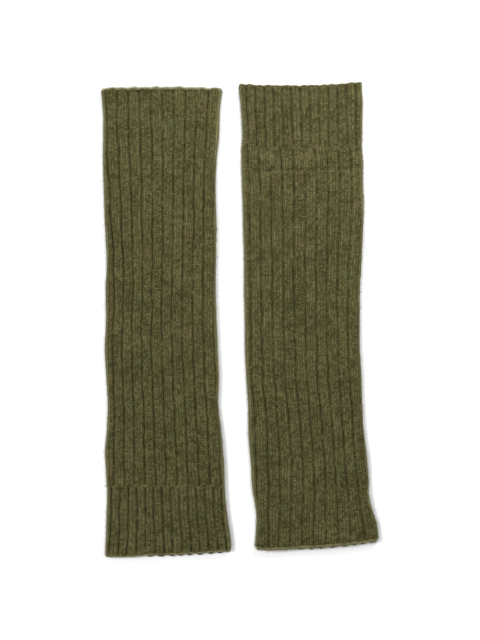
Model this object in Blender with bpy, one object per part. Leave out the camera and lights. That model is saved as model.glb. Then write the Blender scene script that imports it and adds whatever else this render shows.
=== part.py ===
"""A pair of ribbed, knitted arm warmers laid flat side by side.

Each warmer is one tube, knitted in the round: a cuff in narrow rib, a body in wide rib, and
an edge row at each end. Laid down, the tube is two layers of cloth that lie on each other
and turn into one another in a rounded fold at each side. The left warmer has its cuff at
the near end and the right one at the far end. X runs across the pair, Y along the arms and
Z up. The sizes below are in millimetres, and the underside rests flat on Z = 0.
"""

from collections import namedtuple

import bpy
import numpy as np

MM = 0.001  # metres in a millimetre

# The cloth, seen in a cut across a warmer.
THICKNESS = 5.6  # both layers together, up to the crown of a rib
BACK_LAYER = 2.5  # the layer that lies on the table
SLOT = 0.5  # the parting between the layers, where an arm goes in
FOLD_WALL = 2.5  # the cloth at a side fold
LEAST_WALL = 1.0  # what a groove or a crease leaves of the front layer
SEAM_GAP = 0.3  # between two stretches that are knitted onto each other

# The ribs: places along one rib pitch, from a groove on, with the share of the depth there.
RIB_DEPTH = 1.2
RIB_PLACES = (0.0, 0.2, 0.5, 0.8)
RIB_SHARES = (1.0, 0.12, 0.0, 0.12)
RIB_FADE = 9.0  # the grooves run out over this length beside the joint of body and cuff
RIB_LEFT_AT_JOINT = 0.6  # the share of the depth that is left there
BODY_RIBS_SHOWN = 10  # whole ribs between the first and the last groove on the front
CUFF_RIBS_SHOWN = 12
FOLD_STEPS = 5  # points round a side fold
INSIDE_OUTLINE = 0.06  # a groove at a side fold stays this far inside the outline
LAYER_BLEND = 8.0  # the front's end runs over to the back's within this distance of a fold

# The edge rows.
BOUND_EDGE = 4.2  # height of the bound-off row at the free end of the body
CAST_ON_EDGE = 2.2  # height of the cast-on row at the end of the cuff
EDGE_SWELL = 0.3  # the row stands this much proud of the ribs
EDGE_ROUNDING = 0.9  # and turns down this much at its rim
SCALLOP = 0.17  # the rim dips by this share of the row's height at each groove
CORNER_ROUNDING = 0.45  # and is drawn back by this share of it at the side folds
CORNER_WIDTH = 4.0  # from the side folds inwards
RIM_SETBACK = 0.2  # the plain inside ends this share of the height before the rim

RING_SPACING = 16.0  # between two sections along the body
CUFF_RING_SPACING = 11.0
NARROW_FOLD_RINGS = (-1.0, -0.4, 0.0, 0.4, 1.0)  # places across a narrow fold
SHARP_EDGE = np.radians(50)

# One section across a warmer at the place y: the outline left and right, and the first,
# the middle and the last groove on the front.
Section = namedtuple("Section", "y left right first middle last")

LEFT_BODY = (
    Section(200.0, -119.5, -15.0, -115.8, -66.8, -17.5),
    Section(194.0, -119.0, -15.7, -115.5, -66.8, -17.5),
    Section(180.0, -118.1, -17.2, -114.7, -66.6, -17.8),
    Section(160.0, -118.0, -18.2, -114.9, -66.3, -19.8),
    Section(135.0, -118.0, -19.9, -113.8, -66.2, -21.7),
    Section(110.0, -117.5, -20.5, -111.9, -66.3, -22.2),
    Section(80.0, -116.2, -20.3, -110.4, -66.2, -22.5),
    Section(50.0, -115.0, -20.5, -109.2, -66.5, -23.0),
    Section(25.0, -115.7, -20.4, -108.5, -67.0, -23.1),
    Section(0.0, -115.6, -19.9, -109.0, -67.2, -22.9),
    Section(-25.0, -116.3, -18.8, -109.9, -67.0, -22.2),
    Section(-50.0, -115.3, -18.0, -109.4, -66.2, -21.5),
    Section(-75.0, -114.1, -17.7, -108.3, -65.3, -20.4),
    Section(-95.0, -114.8, -15.8, -108.6, -64.4, -19.0),
    Section(-115.0, -116.2, -13.8, -109.0, -63.6, -18.0),
    Section(-130.0, -115.6, -12.8, -108.9, -63.1, -17.7),
    Section(-143.5, -114.8, -12.5, -108.8, -62.8, -17.4),
)
LEFT_CUFF = (
    Section(-143.5, -114.8, -12.5, -109.8, -67.0, -22.9),
    Section(-155.0, -114.6, -11.8, -110.1, -66.8, -22.5),
    Section(-168.0, -115.1, -10.5, -110.5, -66.1, -21.8),
    Section(-182.0, -115.4, -8.5, -111.1, -65.6, -20.3),
    Section(-193.0, -116.0, -7.1, -112.0, -65.3, -19.1),
    Section(-203.0, -116.3, -6.9, -112.7, -65.1, -18.3),
)
RIGHT_CUFF = (
    Section(203.0, -1.1, 104.7, 5.1, 51.2, 98.8),
    Section(196.0, -1.1, 104.8, 5.4, 51.5, 99.0),
    Section(185.0, -0.1, 105.3, 5.9, 51.9, 99.5),
    Section(172.0, 0.9, 105.2, 6.5, 52.3, 99.7),
    Section(160.0, 1.5, 105.0, 6.9, 52.7, 99.7),
    Section(147.0, 0.9, 105.0, 7.1, 53.0, 99.8),
)
RIGHT_BODY = (
    Section(147.0, 0.9, 105.0, 6.7, 54.4, 104.4),
    Section(135.0, 0.8, 105.7, 6.7, 55.2, 105.0),
    Section(118.0, 1.3, 106.2, 7.2, 56.0, 105.6),
    Section(100.0, 1.8, 106.4, 8.0, 56.0, 105.6),
    Section(75.0, 2.5, 105.5, 8.4, 55.8, 103.8),
    Section(50.0, 3.1, 104.3, 8.7, 55.7, 101.7),
    Section(25.0, 3.3, 103.1, 8.9, 55.8, 100.2),
    Section(0.0, 3.6, 102.9, 9.2, 56.0, 100.3),
    Section(-25.0, 4.0, 103.3, 9.4, 56.4, 100.6),
    Section(-50.0, 5.2, 104.4, 10.2, 57.4, 101.4),
    Section(-75.0, 6.5, 105.7, 11.8, 59.4, 102.5),
    Section(-100.0, 7.2, 107.3, 13.3, 61.5, 103.5),
    Section(-125.0, 9.1, 110.0, 14.0, 63.2, 105.3),
    Section(-145.0, 10.6, 111.8, 14.0, 63.7, 107.8),
    Section(-158.0, 12.1, 113.2, 14.2, 63.8, 110.0),
    Section(-168.0, 13.2, 115.4, 14.6, 63.7, 112.0),
    Section(-182.0, 13.3, 118.6, 14.7, 63.6, 114.9),
    Section(-198.0, 12.9, 120.3, 14.7, 63.6, 116.6),
)

# The rim of a warmer's end, at the left fold, the middle and the right fold, and how far
# the back layer shows past the front one there.
Rim = namedtuple("Rim", "left middle right back_past_front")

# A soft transverse trough or swell of the front layer: its middle, its half length and half
# width, its depth (less than nothing for a swell), and how much higher its right end lies.
Fold = namedtuple("Fold", "y x half_length half_width depth rise")

LEFT_FOLDS = (
    Fold(-17.0, -67.0, 60.0, 13.0, 0.5, 2.0),
    Fold(38.0, -92.0, 34.0, 9.0, 0.3, -2.0),
    Fold(-130.0, -90.0, 40.0, 8.0, 0.3, 1.0),
)
RIGHT_FOLDS = (
    Fold(127.5, 53.0, 56.0, 3.2, 0.9, -1.5),
    Fold(138.0, 53.0, 60.0, 8.0, -0.5, 0.0),
    Fold(31.0, 52.0, 55.0, 14.0, 0.3, 3.0),
)

# One warmer. toward_cuff is -1 where the cuff is at the near end, and 1 at the far end.
Warmer = namedtuple("Warmer", "name body cuff body_rim cuff_rim folds toward_cuff")

WARMERS = (
    Warmer(
        "left",
        LEFT_BODY,
        LEFT_CUFF,
        Rim(199.9, 199.5, 198.6, 0.4),
        Rim(-204.2, -203.1, -199.8, 1.2),
        LEFT_FOLDS,
        -1,
    ),
    Warmer(
        "right",
        RIGHT_BODY,
        RIGHT_CUFF,
        Rim(-198.4, -198.0, -191.6, 1.2),
        Rim(202.6, 200.9, 204.3, 0.4),
        RIGHT_FOLDS,
        1,
    ),
)

# The yarn's colour, linear, a little deeper where the ribs lie closer.
OLIVE = (0.090, 0.083, 0.034)
CUFF_OLIVE = (0.084, 0.078, 0.032)
EDGE_OLIVE = (0.098, 0.090, 0.040)
WOOL_ROUGHNESS = 0.95


def smooth_between(y, places, values):
    """A smooth curve through a table: cubic pieces whose slope at each row is the table's."""
    order = np.argsort(places)
    places = np.asarray(places, float)[order]
    values = np.asarray(values, float)[order]
    slopes = np.gradient(values, places)
    y = np.clip(y, places[0], places[-1])
    row = np.clip(np.searchsorted(places, y) - 1, 0, len(places) - 2)
    length = places[row + 1] - places[row]
    t = (y - places[row]) / length
    start = values[row] * (2 * t**3 - 3 * t**2 + 1)
    end = values[row + 1] * (3 * t**2 - 2 * t**3)
    leave = slopes[row] * length * (t**3 - 2 * t**2 + t)
    arrive = slopes[row + 1] * length * (t**3 - t**2)
    return start + end + leave + arrive


def section_at(table, y):
    """The section at y, read off a table of sections."""
    places = [row.y for row in table]
    columns = zip(*[row[1:] for row in table])
    return Section(y, *[float(smooth_between(y, places, column)) for column in columns])


def through_three(share, start, middle, end):
    """A curve through three values, at the shares 0, a half and 1 of a length."""
    bow = 4 * middle - 2 * (start + end)
    return start + (end - start) * share + bow * share * (1 - share)


def ease(value):
    """0 below 0, 1 above 1, and a soft step between."""
    value = np.clip(value, 0, 1)
    return value * value * (3 - 2 * value)


def rib_share(ribs):
    """How much of the rib's depth is sunk at a place counted in ribs from the first groove."""
    places = RIB_PLACES + (1.0,)
    shares = RIB_SHARES + (1.0,)
    return np.interp(np.mod(ribs, 1.0), places, shares)


def round_fold(start_x, centre_x, radius, pitch):
    """Points from a groove on the top, over the right fold, to where the underside begins.

    The path is the flat top up to the fold, then a half circle. It returns x, z, the outward
    direction and the distance in ribs of points evenly spaced along that path.
    """
    flat = max(centre_x - start_x, 0.0)
    across = np.clip((start_x - centre_x) / radius, 0, 1)
    start_angle = np.arccos(across)
    total = flat + radius * (np.pi / 2 + start_angle)
    along = total * np.arange(1, FOLD_STEPS + 1) / FOLD_STEPS
    angle = np.minimum(start_angle - (along - flat) / radius, np.pi / 2)
    on_top = along < flat
    x = np.where(on_top, start_x + along, centre_x + radius * np.cos(angle))
    z = np.where(on_top, 2 * radius, radius + radius * np.sin(angle))
    return x, z, np.cos(angle), np.sin(angle), along / pitch


def outer_ring(section, ribs_shown, depth):
    """One closed ring of the outer skin: x, z and the share of the rib depth at each point.

    It runs over the front from left to right, round the right fold, under the warmer with
    two more points, and up the left fold. Every point is sunk inwards by the rib's share of
    the depth there, and the underside stays flat.
    """
    radius = THICKNESS / 2
    left_centre = section.left + radius
    right_centre = section.right - radius
    whole = np.arange(ribs_shown)[:, None] + np.array(RIB_PLACES)[None, :]
    ribs = np.append(whole.ravel(), float(ribs_shown))
    x = through_three(ribs / ribs_shown, section.first, section.middle, section.last)
    x = np.clip(x, section.left + INSIDE_OUTLINE, section.right - INSIDE_OUTLINE)
    beyond = np.maximum(x - right_centre, 0) - np.maximum(left_centre - x, 0)
    out_x = beyond / radius
    out_z = np.sqrt(1 - out_x**2)
    z = radius + radius * out_z
    pitch = (section.last - section.first) / ribs_shown

    right = round_fold(x[-1], right_centre, radius, pitch)
    left = round_fold(-x[0], -left_centre, radius, pitch)
    x = np.concatenate([x, right[0], -left[0][::-1]])
    z = np.concatenate([z, right[1], left[1][::-1]])
    out_x = np.concatenate([out_x, right[2], -left[2][::-1]])
    out_z = np.concatenate([out_z, right[3], left[3][::-1]])
    ribs = np.concatenate([ribs, right[4], left[4][::-1]])
    share = rib_share(ribs) * ease(z / radius)
    x = x - out_x * share * depth
    z = z - out_z * share * depth
    under = len(x) - FOLD_STEPS
    x = np.insert(x, [under, under], [section.right - LAYER_BLEND, section.left + LAYER_BLEND])
    return x, np.insert(z, [under, under], 0.0), np.insert(share, [under, under], 0.0)


def inner_ring(section, front_points):
    """The matching ring of the plain inside: a flat slot with a rounded end at each side."""
    radius = SLOT / 2
    left = section.left + FOLD_WALL + radius
    right = section.right - FOLD_WALL - radius
    middle_z = BACK_LAYER + radius
    turn = np.pi / 2 - np.pi * np.arange(1, FOLD_STEPS + 1) / FOLD_STEPS
    front = np.linspace(left, right, front_points)
    side = radius * np.cos(turn)
    under = [section.right - LAYER_BLEND, section.left + LAYER_BLEND]
    x = np.concatenate([front, right + side, under, left - side[::-1]])
    rise = radius * np.sin(turn)
    above = np.concatenate([np.full(front_points, radius), rise, [-radius, -radius], rise[::-1]])
    return x, middle_z + above


def fold_depth(folds, x, y):
    """The depth of the transverse folds at a place: each is a soft bump in both directions."""
    total = np.zeros_like(x)
    for fold in folds:
        middle_y = fold.y + fold.rise * (x - fold.x) / fold.half_length
        across = np.clip(np.abs(y - middle_y) / fold.half_width, 0, 1)
        along = np.clip(np.abs(x - fold.x) / fold.half_length, 0, 1)
        total = total + fold.depth * (1 - ease(across)) * (1 - along**4)
    return total


def joint_of(warmer):
    """The section where a warmer's body and cuff are knitted onto each other."""
    return warmer.body[0] if warmer.toward_cuff > 0 else warmer.body[-1]


def rim_shift(warmer, section, x, y, layer):
    """How far a point is moved along Y so that the rows follow the rims of both ends.

    A row is level at the joint of body and cuff, and takes on the rim's line and the step
    between the layers little by little towards each end. layer is 1 on the front layer and
    -1 on the back one, and the two run into one another towards the side folds.
    """
    from_side = np.minimum(x - section.left, section.right - x)
    front = 0.5 + 0.5 * np.clip(layer, -1, 1) * ease(from_side / LAYER_BLEND)
    joint = joint_of(warmer).y
    toward_here = 1 if y > joint else -1
    rim = warmer.cuff_rim if toward_here == warmer.toward_cuff else warmer.body_rim
    level = rim.middle
    reached = (y - joint) / (level - joint)
    share = (x - section.left) / (section.right - section.left)
    line = through_three(share, rim.left, rim.middle, rim.right) - level
    return reached * (line - toward_here * rim.back_past_front * front)


def ring_pair(warmer, table, ribs_shown, y, swell=0.0, rim_height=0.0):
    """The outer and the inner ring of a warmer at y, as two arrays of points.

    swell raises the front's surface. rim_height is the height of the edge row on its rim's
    ring, which gets scallops and rounded corners, and is less than nothing at the near end.
    """
    section = section_at(table, y)
    joint = joint_of(warmer).y
    faded = 1 - ease(abs(y - joint) / RIB_FADE)
    depth = RIB_DEPTH * (1 - (1 - RIB_LEFT_AT_JOINT) * faded)
    x, z, share = outer_ring(section, ribs_shown, depth)
    upper = ease((z - THICKNESS / 2) / (THICKNESS / 2))
    raised = (swell - fold_depth(warmer.folds, x, y)) * upper
    floor = BACK_LAYER + SLOT + LEAST_WALL
    z = np.where(upper > 0, np.maximum(z + raised, np.minimum(z, floor)), z)
    layer = (z - THICKNESS / 2) / (THICKNESS / 2 - RIB_DEPTH)
    from_side = np.minimum(x - section.left, section.right - x)
    corner = (1 - np.clip(from_side / CORNER_WIDTH, 0, 1)) ** 2
    drawn_back = rim_height * (SCALLOP * share + CORNER_ROUNDING * corner)
    outer_y = y + rim_shift(warmer, section, x, y, layer) - drawn_back

    inner_x, inner_z = inner_ring(section, len(x) - 2 * FOLD_STEPS - 2)
    inner_layer = (inner_z - BACK_LAYER) * 2 / SLOT - 1
    inner_y = y + rim_shift(warmer, section, inner_x, y, inner_layer) - RIM_SETBACK * rim_height
    outer = np.stack([x, outer_y, z], axis=1)
    inner = np.stack([inner_x, inner_y, inner_z], axis=1)
    return outer, inner


def triangle_pairs(a, b, c, d):
    """The two triangles of each quad a b c d, always parted from a to c.

    Two walls that meet at a joint are so parted alike, and stay clear of each other there.
    """
    return np.concatenate([np.stack([a, b, c], axis=-1), np.stack([a, c, d], axis=-1)])


def skin_faces(indices):
    """The triangles between neighbouring rings of one skin, closed all round."""
    onward = np.roll(indices, -1, axis=1)
    corners = [indices[:-1], indices[1:], onward[1:], onward[:-1]]
    return triangle_pairs(*[corner.ravel() for corner in corners])


def rim_faces(outer, inner):
    """The triangles that join the outer to the inner ring at one end."""
    return triangle_pairs(outer, np.roll(outer, -1), np.roll(inner, -1), inner)


def knitted_wall(name, pairs, place, material):
    """A closed wall of cloth, lofted through pairs of rings that run from far to near.

    The mesh is measured from place, the middle of its warmer's joint of body and cuff.
    """
    outer = np.array([pair[0] for pair in pairs])
    inner = np.array([pair[1] for pair in pairs])
    rings, around = outer.shape[:2]
    points = np.concatenate([outer.reshape(-1, 3), inner.reshape(-1, 3)]) - place
    outside = np.arange(rings * around).reshape(rings, around)
    inside = outside + rings * around
    faces = np.concatenate(
        [
            skin_faces(outside),
            skin_faces(inside)[:, ::-1],
            rim_faces(outside[0], inside[0]),
            rim_faces(outside[-1], inside[-1])[:, ::-1],
        ]
    )
    mesh = bpy.data.meshes.new(name)
    mesh.from_pydata((points * MM).tolist(), [], faces.tolist())
    mesh.validate()
    mesh.materials.append(material)
    mesh.shade_smooth()
    mesh.set_sharp_from_angle(angle=SHARP_EDGE)
    return bpy.data.objects.new(name, mesh)


def ring_places(start, end, spacing, folds=()):
    """Places of the rings from one end to the other, closer together at a narrow fold."""
    count = int(np.ceil(abs(end - start) / spacing))
    places = list(np.linspace(start, end, count + 1))
    low = min(start, end)
    high = max(start, end)
    for fold in folds:
        if fold.half_width < spacing / 2:
            across = [fold.y + share * fold.half_width for share in NARROW_FOLD_RINGS]
            kept = [y for y in places if abs(y - fold.y) > 1.3 * fold.half_width]
            places = kept + [y for y in across if low < y < high]
    return sorted(places, reverse=True)


def long_piece(warmer, table, ribs_shown, ends, spacing):
    """The rings of a body or a cuff, between the two places that it ends at."""
    places = ring_places(ends[0], ends[1], spacing, warmer.folds)
    return [ring_pair(warmer, table, ribs_shown, y) for y in places]


def edge_row(warmer, table, ribs_shown, inside_y, rim_y):
    """The rings of an edge row: level, then swelling, then turned down at the rim."""
    height = rim_y - inside_y
    swollen_y = (inside_y + rim_y) / 2
    rings = [
        ring_pair(warmer, table, ribs_shown, inside_y),
        ring_pair(warmer, table, ribs_shown, swollen_y, swell=EDGE_SWELL),
        ring_pair(warmer, table, ribs_shown, rim_y, swell=-EDGE_ROUNDING, rim_height=height),
    ]
    return rings if height < 0 else rings[::-1]


def warmer_pieces(warmer):
    """The rings of the four pieces of one warmer, each piece a little apart from the next."""
    side = warmer.toward_cuff
    joint = joint_of(warmer).y
    body_end = warmer.body_rim.middle + side * BOUND_EDGE
    cuff_end = warmer.cuff_rim.middle - side * CAST_ON_EDGE
    half = SEAM_GAP / 2
    body_span = (joint - side * half, body_end + side * half)
    cuff_span = (joint + side * half, cuff_end - side * half)
    bound_span = (body_end - side * half, warmer.body_rim.middle)
    cast_on_span = (cuff_end + side * half, warmer.cuff_rim.middle)
    body_shape = (warmer, warmer.body, BODY_RIBS_SHOWN)
    cuff_shape = (warmer, warmer.cuff, CUFF_RIBS_SHOWN)
    return {
        "body": long_piece(*body_shape, body_span, RING_SPACING),
        "cuff": long_piece(*cuff_shape, cuff_span, CUFF_RING_SPACING),
        "bound_edge": edge_row(*body_shape, *bound_span),
        "cast_on_edge": edge_row(*cuff_shape, *cast_on_span),
    }


def wool(name, colour):
    """Matt brushed wool in one colour."""
    material = bpy.data.materials.new(name)
    material.use_nodes = True
    shader = material.node_tree.nodes["Principled BSDF"]
    shader.inputs["Base Color"].default_value = (*colour, 1.0)
    shader.inputs["Roughness"].default_value = WOOL_ROUGHNESS
    shader.inputs["Metallic"].default_value = 0.0
    material.diffuse_color = (*colour, 1.0)
    return material


def middle_of(shapes):
    """The middle of the box round all the rings, on the table."""
    rings = [ring for pieces in shapes for pairs in pieces.values() for pair in pairs for ring in pair]
    points = np.concatenate(rings)
    middle = (points.min(axis=0) + points.max(axis=0)) / 2
    middle[2] = 0.0
    return middle


def main():
    for old in list(bpy.data.objects):
        bpy.data.objects.remove(old, do_unlink=True)
    collection = bpy.data.collections.new("arm_warmers")
    bpy.context.scene.collection.children.link(collection)
    materials = {
        "body": wool("body_rib", OLIVE),
        "cuff": wool("cuff_rib", CUFF_OLIVE),
        "bound_edge": wool("bound_edge", EDGE_OLIVE),
        "cast_on_edge": wool("cast_on_edge", EDGE_OLIVE),
    }
    shapes = [warmer_pieces(warmer) for warmer in WARMERS]
    middle = middle_of(shapes)
    for warmer, pieces in zip(WARMERS, shapes):
        joint = joint_of(warmer)
        place = np.array([(joint.left + joint.right) / 2, joint.y, 0.0])
        holder = bpy.data.objects.new(f"{warmer.name}_warmer", None)
        holder.location = (place - middle) * MM
        collection.objects.link(holder)
        for piece, pairs in pieces.items():
            wall = knitted_wall(f"{warmer.name}_{piece}", pairs, place, materials[piece])
            wall.parent = holder
            collection.objects.link(wall)


main()
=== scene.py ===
"""Looks of a pair of ribbed, knitted wool arm warmers laid flat side by side on a pale table.

Each warmer is one tube of cloth, knitted in the round: a cuff in narrow rib, a body in wide
rib, a cast-on edge and a bound-off edge. Every stretch is a closed wall whose outer skin is
worked out stitch by stitch. The tables below are in millimetres, in their own coordinates;
X runs across the pair, Y along the arms and Z up from the table.
"""

from collections import namedtuple

import bpy
import numpy as np
from bpy.props import FloatProperty, FloatVectorProperty, IntProperty, PointerProperty
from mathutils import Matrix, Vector


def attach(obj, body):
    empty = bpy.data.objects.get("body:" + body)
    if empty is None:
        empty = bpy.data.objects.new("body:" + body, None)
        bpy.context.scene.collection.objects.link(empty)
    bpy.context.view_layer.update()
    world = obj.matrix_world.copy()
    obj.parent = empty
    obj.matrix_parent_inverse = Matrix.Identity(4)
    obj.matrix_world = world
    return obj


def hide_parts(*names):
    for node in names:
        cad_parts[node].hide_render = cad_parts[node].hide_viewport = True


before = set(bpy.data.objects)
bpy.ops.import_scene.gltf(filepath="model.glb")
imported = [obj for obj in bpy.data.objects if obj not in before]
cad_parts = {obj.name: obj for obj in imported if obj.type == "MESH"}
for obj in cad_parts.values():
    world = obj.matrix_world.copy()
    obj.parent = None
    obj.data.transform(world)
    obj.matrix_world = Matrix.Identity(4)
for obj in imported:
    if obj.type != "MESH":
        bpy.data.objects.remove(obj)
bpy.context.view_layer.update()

bl_info = {
    "name": "Ribbed arm warmers",
    "version": (1, 0, 0),
    "blender": (4, 5, 0),
    "location": "3D View > Sidebar > Arm warmers",
    "description": "Knits a pair of ribbed wool arm warmers, laid flat, with their nap and a stage",
    "category": "Object",
}

MM = 0.001  # metres in a millimetre
MIDDLE = np.array([0.426, -0.205, 0.0])  # the middle of the pair in the tables' coordinates

# The cloth, seen in a cut across a warmer.
THICKNESS = 5.6  # both layers together, up to the crown of a rib
FOLD_RADIUS = THICKNESS / 2
BACK_LAYER = 2.5  # the layer that lies on the table
SLOT = 0.5  # the parting between the layers
FOLD_WALL = 2.5  # the cloth at a side fold
LEAST_WALL = 1.0  # what a groove or a fold leaves of the front layer
INSIDE_OUTLINE = 0.06  # a groove at a side fold stays this far inside the outline
LAYER_BLEND = 8.0  # the front's end runs over to the back's within this distance of a fold
LAYER_FULL = 1.2  # this near the top or the table a point lies wholly in one layer

# The ribs. A rib is some raised stitches and one sunk stitch, which makes the groove.
Rib = namedtuple("Rib", "stitches shown round")
BODY_RIB = Rib(5, 10, 22)
CUFF_RIB = Rib(4, 12, 28)
SUNK_HALF_WIDTH = 0.05  # of a sunk stitch, as a share of the rib pitch
GROOVE_PLACES = (-0.5, 0.0, 0.25, 0.5, 1.0, 1.5)  # stitches from the sunk one's edge
GROOVE_SHARES = (1.0, 0.68, 0.17, 0.06, 0.02, 0.0)  # of the groove's depth there
GROOVE_MEAN = 1.13  # the usual share of a groove's depth
GROOVE_MOST = 1.45  # and the most
GROOVE_UNEVEN = ((1, 0.24), (4, 0.13), (14, 0.10))  # courses a value stands for, and its reach
GROOVE_SWAY = ((9, 0.26), (3, 0.14))  # the same for the grooves' way to the side
UNDER_GROOVE = 0.4  # share of a groove's depth that is left where the cloth rests
JOINT_FADE = 0.8  # the grooves run out over this length before the joint of body and cuff
JOINT_END = 0.45  # and each ends at its own place, over about this length

# The stitches. Each is a V whose two legs lean outwards, away from the cast-on edge.
COURSE = 1.72  # height of a row of stitches
LEAN = 0.62  # a leg climbs this share of a course on its way out
STRAIGHTEN = 1.0  # courses in which a row straightens towards the joint
SEAM_SINK = 0.4  # how far the row at the joint is drawn in, as a share of the stitch relief
SEAM_SHADE = 0.3  # how much painted shade the drawn-in row at the joint gets
PURL_SHADE = 0.5  # how much painted shade a groove keeps where it has run out
CENTRE_DIP = 0.05  # share of the relief that is left between the legs of one stitch
COLUMN_DIP = 0.7  # share of the relief that is left between two columns
COLUMN_SHADE = 0.64  # painted shade along the middle of a stitch, between its legs
COURSE_SHADE = 0.46  # painted shade in the gap between two courses
LOW_SHADE = 0.3  # painted shade on the lowest places of a stitch
GAP_DIP = 0.12  # share of the relief that is left between two courses
SUNK_RELIEF = 0.4  # height of a sunk stitch, as a share of the relief
UNDER_SHADE = 0.3  # painted shade on the plain inside of the tube

# The edge rows.
BOUND_EDGE = 4.2
CAST_ON_EDGE = 2.2
CHAIN_WIDTH = 2.0  # the bound-off chain covers this much of the row's height
LOOP_WIDTH = 1.0  # the cast-on loops cover this much
CHAIN_HEIGHT = 0.85  # of a link of the chain
LOOP_HEIGHT = 0.5  # of a cast-on loop
TRENCH_DEPTH = 0.35  # of the dotted line behind the chain
# Painted shade in the dotted line behind the chain.
TRENCH_SHADE = 0.7
RIM_INSIDE_SHADE = 0.25  # how much painted shade the inside of a rim gets
SEAM_GAP = 0.02  # between two pieces that are knitted onto each other

# Painted highlight on the side folds and the rims, standing in for the lit loose fibres that stand
# off there.
FOLD_HIGHLIGHT = 3.2
CHAIN_HIGHLIGHT = 4.2
LOOP_HIGHLIGHT = 5.4
GLINT = 0.3  # how far the painted highlight of single loops, and of the loops of one rib, differs from the others in it

# One section across a warmer at the place y: the outline left and right, and the first,
# the middle and the last groove on the front.
Section = namedtuple("Section", "y left right first middle last")

LEFT_BODY = [Section(*row) for row in (
    (200.0, -119.3, -15.1, -115.8, -66.8, -17.5), (194.0, -118.8, -15.8, -115.5, -66.8, -17.5),
    (180.0, -117.5, -17.4, -114.7, -66.6, -17.8), (160.0, -117.2, -18.0, -114.9, -66.3, -19.8),
    (135.0, -117.5, -20.3, -113.8, -66.2, -21.7), (110.0, -116.8, -21.0, -111.9, -66.3, -22.2),
    (80.0, -115.8, -20.3, -110.4, -66.2, -22.5), (50.0, -114.3, -20.7, -108.4, -66.5, -22.2),
    (25.0, -115.3, -20.9, -107.7, -67.0, -22.3), (0.0, -114.9, -20.3, -108.2, -67.2, -22.1),
    (-25.0, -116.0, -19.2, -109.0, -67.0, -21.4), (-50.0, -114.6, -18.3, -108.5, -66.2, -20.7),
    (-75.0, -113.4, -18.6, -107.4, -65.3, -19.1), (-95.0, -114.3, -16.3, -107.7, -64.4, -17.6),
    (-115.0, -115.9, -14.5, -108.1, -63.6, -16.6), (-130.0, -115.1, -13.5, -108.0, -63.1, -16.3),
    (-143.5, -114.3, -13.2, -107.9, -62.8, -16.0),
)]
LEFT_CUFF = [Section(*row) for row in (
    (-143.5, -114.3, -13.2, -109.8, -67.0, -22.9), (-155.0, -114.1, -12.5, -110.1, -66.8, -22.5),
    (-168.0, -114.7, -11.2, -110.5, -66.1, -21.8), (-182.0, -115.0, -9.4, -111.1, -65.6, -20.3),
    (-193.0, -115.4, -7.9, -112.0, -65.3, -19.1), (-203.0, -115.7, -7.7, -112.7, -65.1, -18.3),
)]
RIGHT_CUFF = [Section(*row) for row in (
    (203.0, -1.1, 104.8, 5.1, 51.2, 98.8), (196.0, -1.1, 104.9, 5.4, 51.5, 99.0),
    (185.0, 0.0, 105.5, 5.9, 51.9, 99.5), (172.0, 1.0, 105.3, 6.5, 52.3, 99.7),
    (160.0, 1.7, 105.1, 6.9, 52.7, 99.7), (147.0, 1.0, 104.7, 7.1, 53.0, 99.8),
)]
RIGHT_BODY = [Section(*row) for row in (
    (147.0, 1.0, 104.7, 6.7, 54.4, 104.7), (135.0, 1.1, 105.6, 6.7, 55.2, 105.3),
    (118.0, 1.6, 105.6, 7.2, 56.0, 105.9), (100.0, 2.3, 106.2, 8.0, 56.0, 105.9),
    (75.0, 2.9, 105.4, 8.4, 55.8, 104.3), (50.0, 3.6, 104.4, 8.7, 55.7, 102.9),
    (25.0, 3.5, 102.9, 8.9, 55.8, 101.4), (0.0, 4.1, 102.7, 9.2, 56.0, 101.5),
    (-25.0, 4.3, 102.7, 9.4, 56.4, 101.8), (-50.0, 5.5, 103.9, 10.2, 57.4, 102.6),
    (-75.0, 7.1, 104.8, 11.8, 59.4, 104.1), (-100.0, 7.4, 106.0, 13.3, 61.5, 105.2),
    (-125.0, 9.5, 109.0, 14.0, 63.2, 107.0), (-145.0, 10.6, 110.4, 14.0, 63.7, 109.5),
    (-158.0, 12.8, 110.9, 14.2, 63.8, 111.7), (-168.0, 14.1, 113.1, 14.6, 63.7, 113.7),
    (-182.0, 13.7, 117.3, 14.7, 63.6, 116.6), (-198.0, 12.8, 119.0, 14.7, 63.6, 118.3),
)]

# The rim of a warmer's end, at the left fold, the middle and the right fold, how far the
# back layer shows past the front one, the height of the waves of both layers there, the
# pitch of the waves on the back, and the radius of the corners at both folds.
Rim = namedtuple(
    "Rim", "left middle right back_past_front front_wave back_wave back_pitch corners"
)

# A soft transverse trough or swell of the front layer: its middle, its half length and half
# width, its depth (less than nothing for a swell), and how much higher its right end lies.
Fold = namedtuple("Fold", "y x half_length half_width depth rise")

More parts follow.
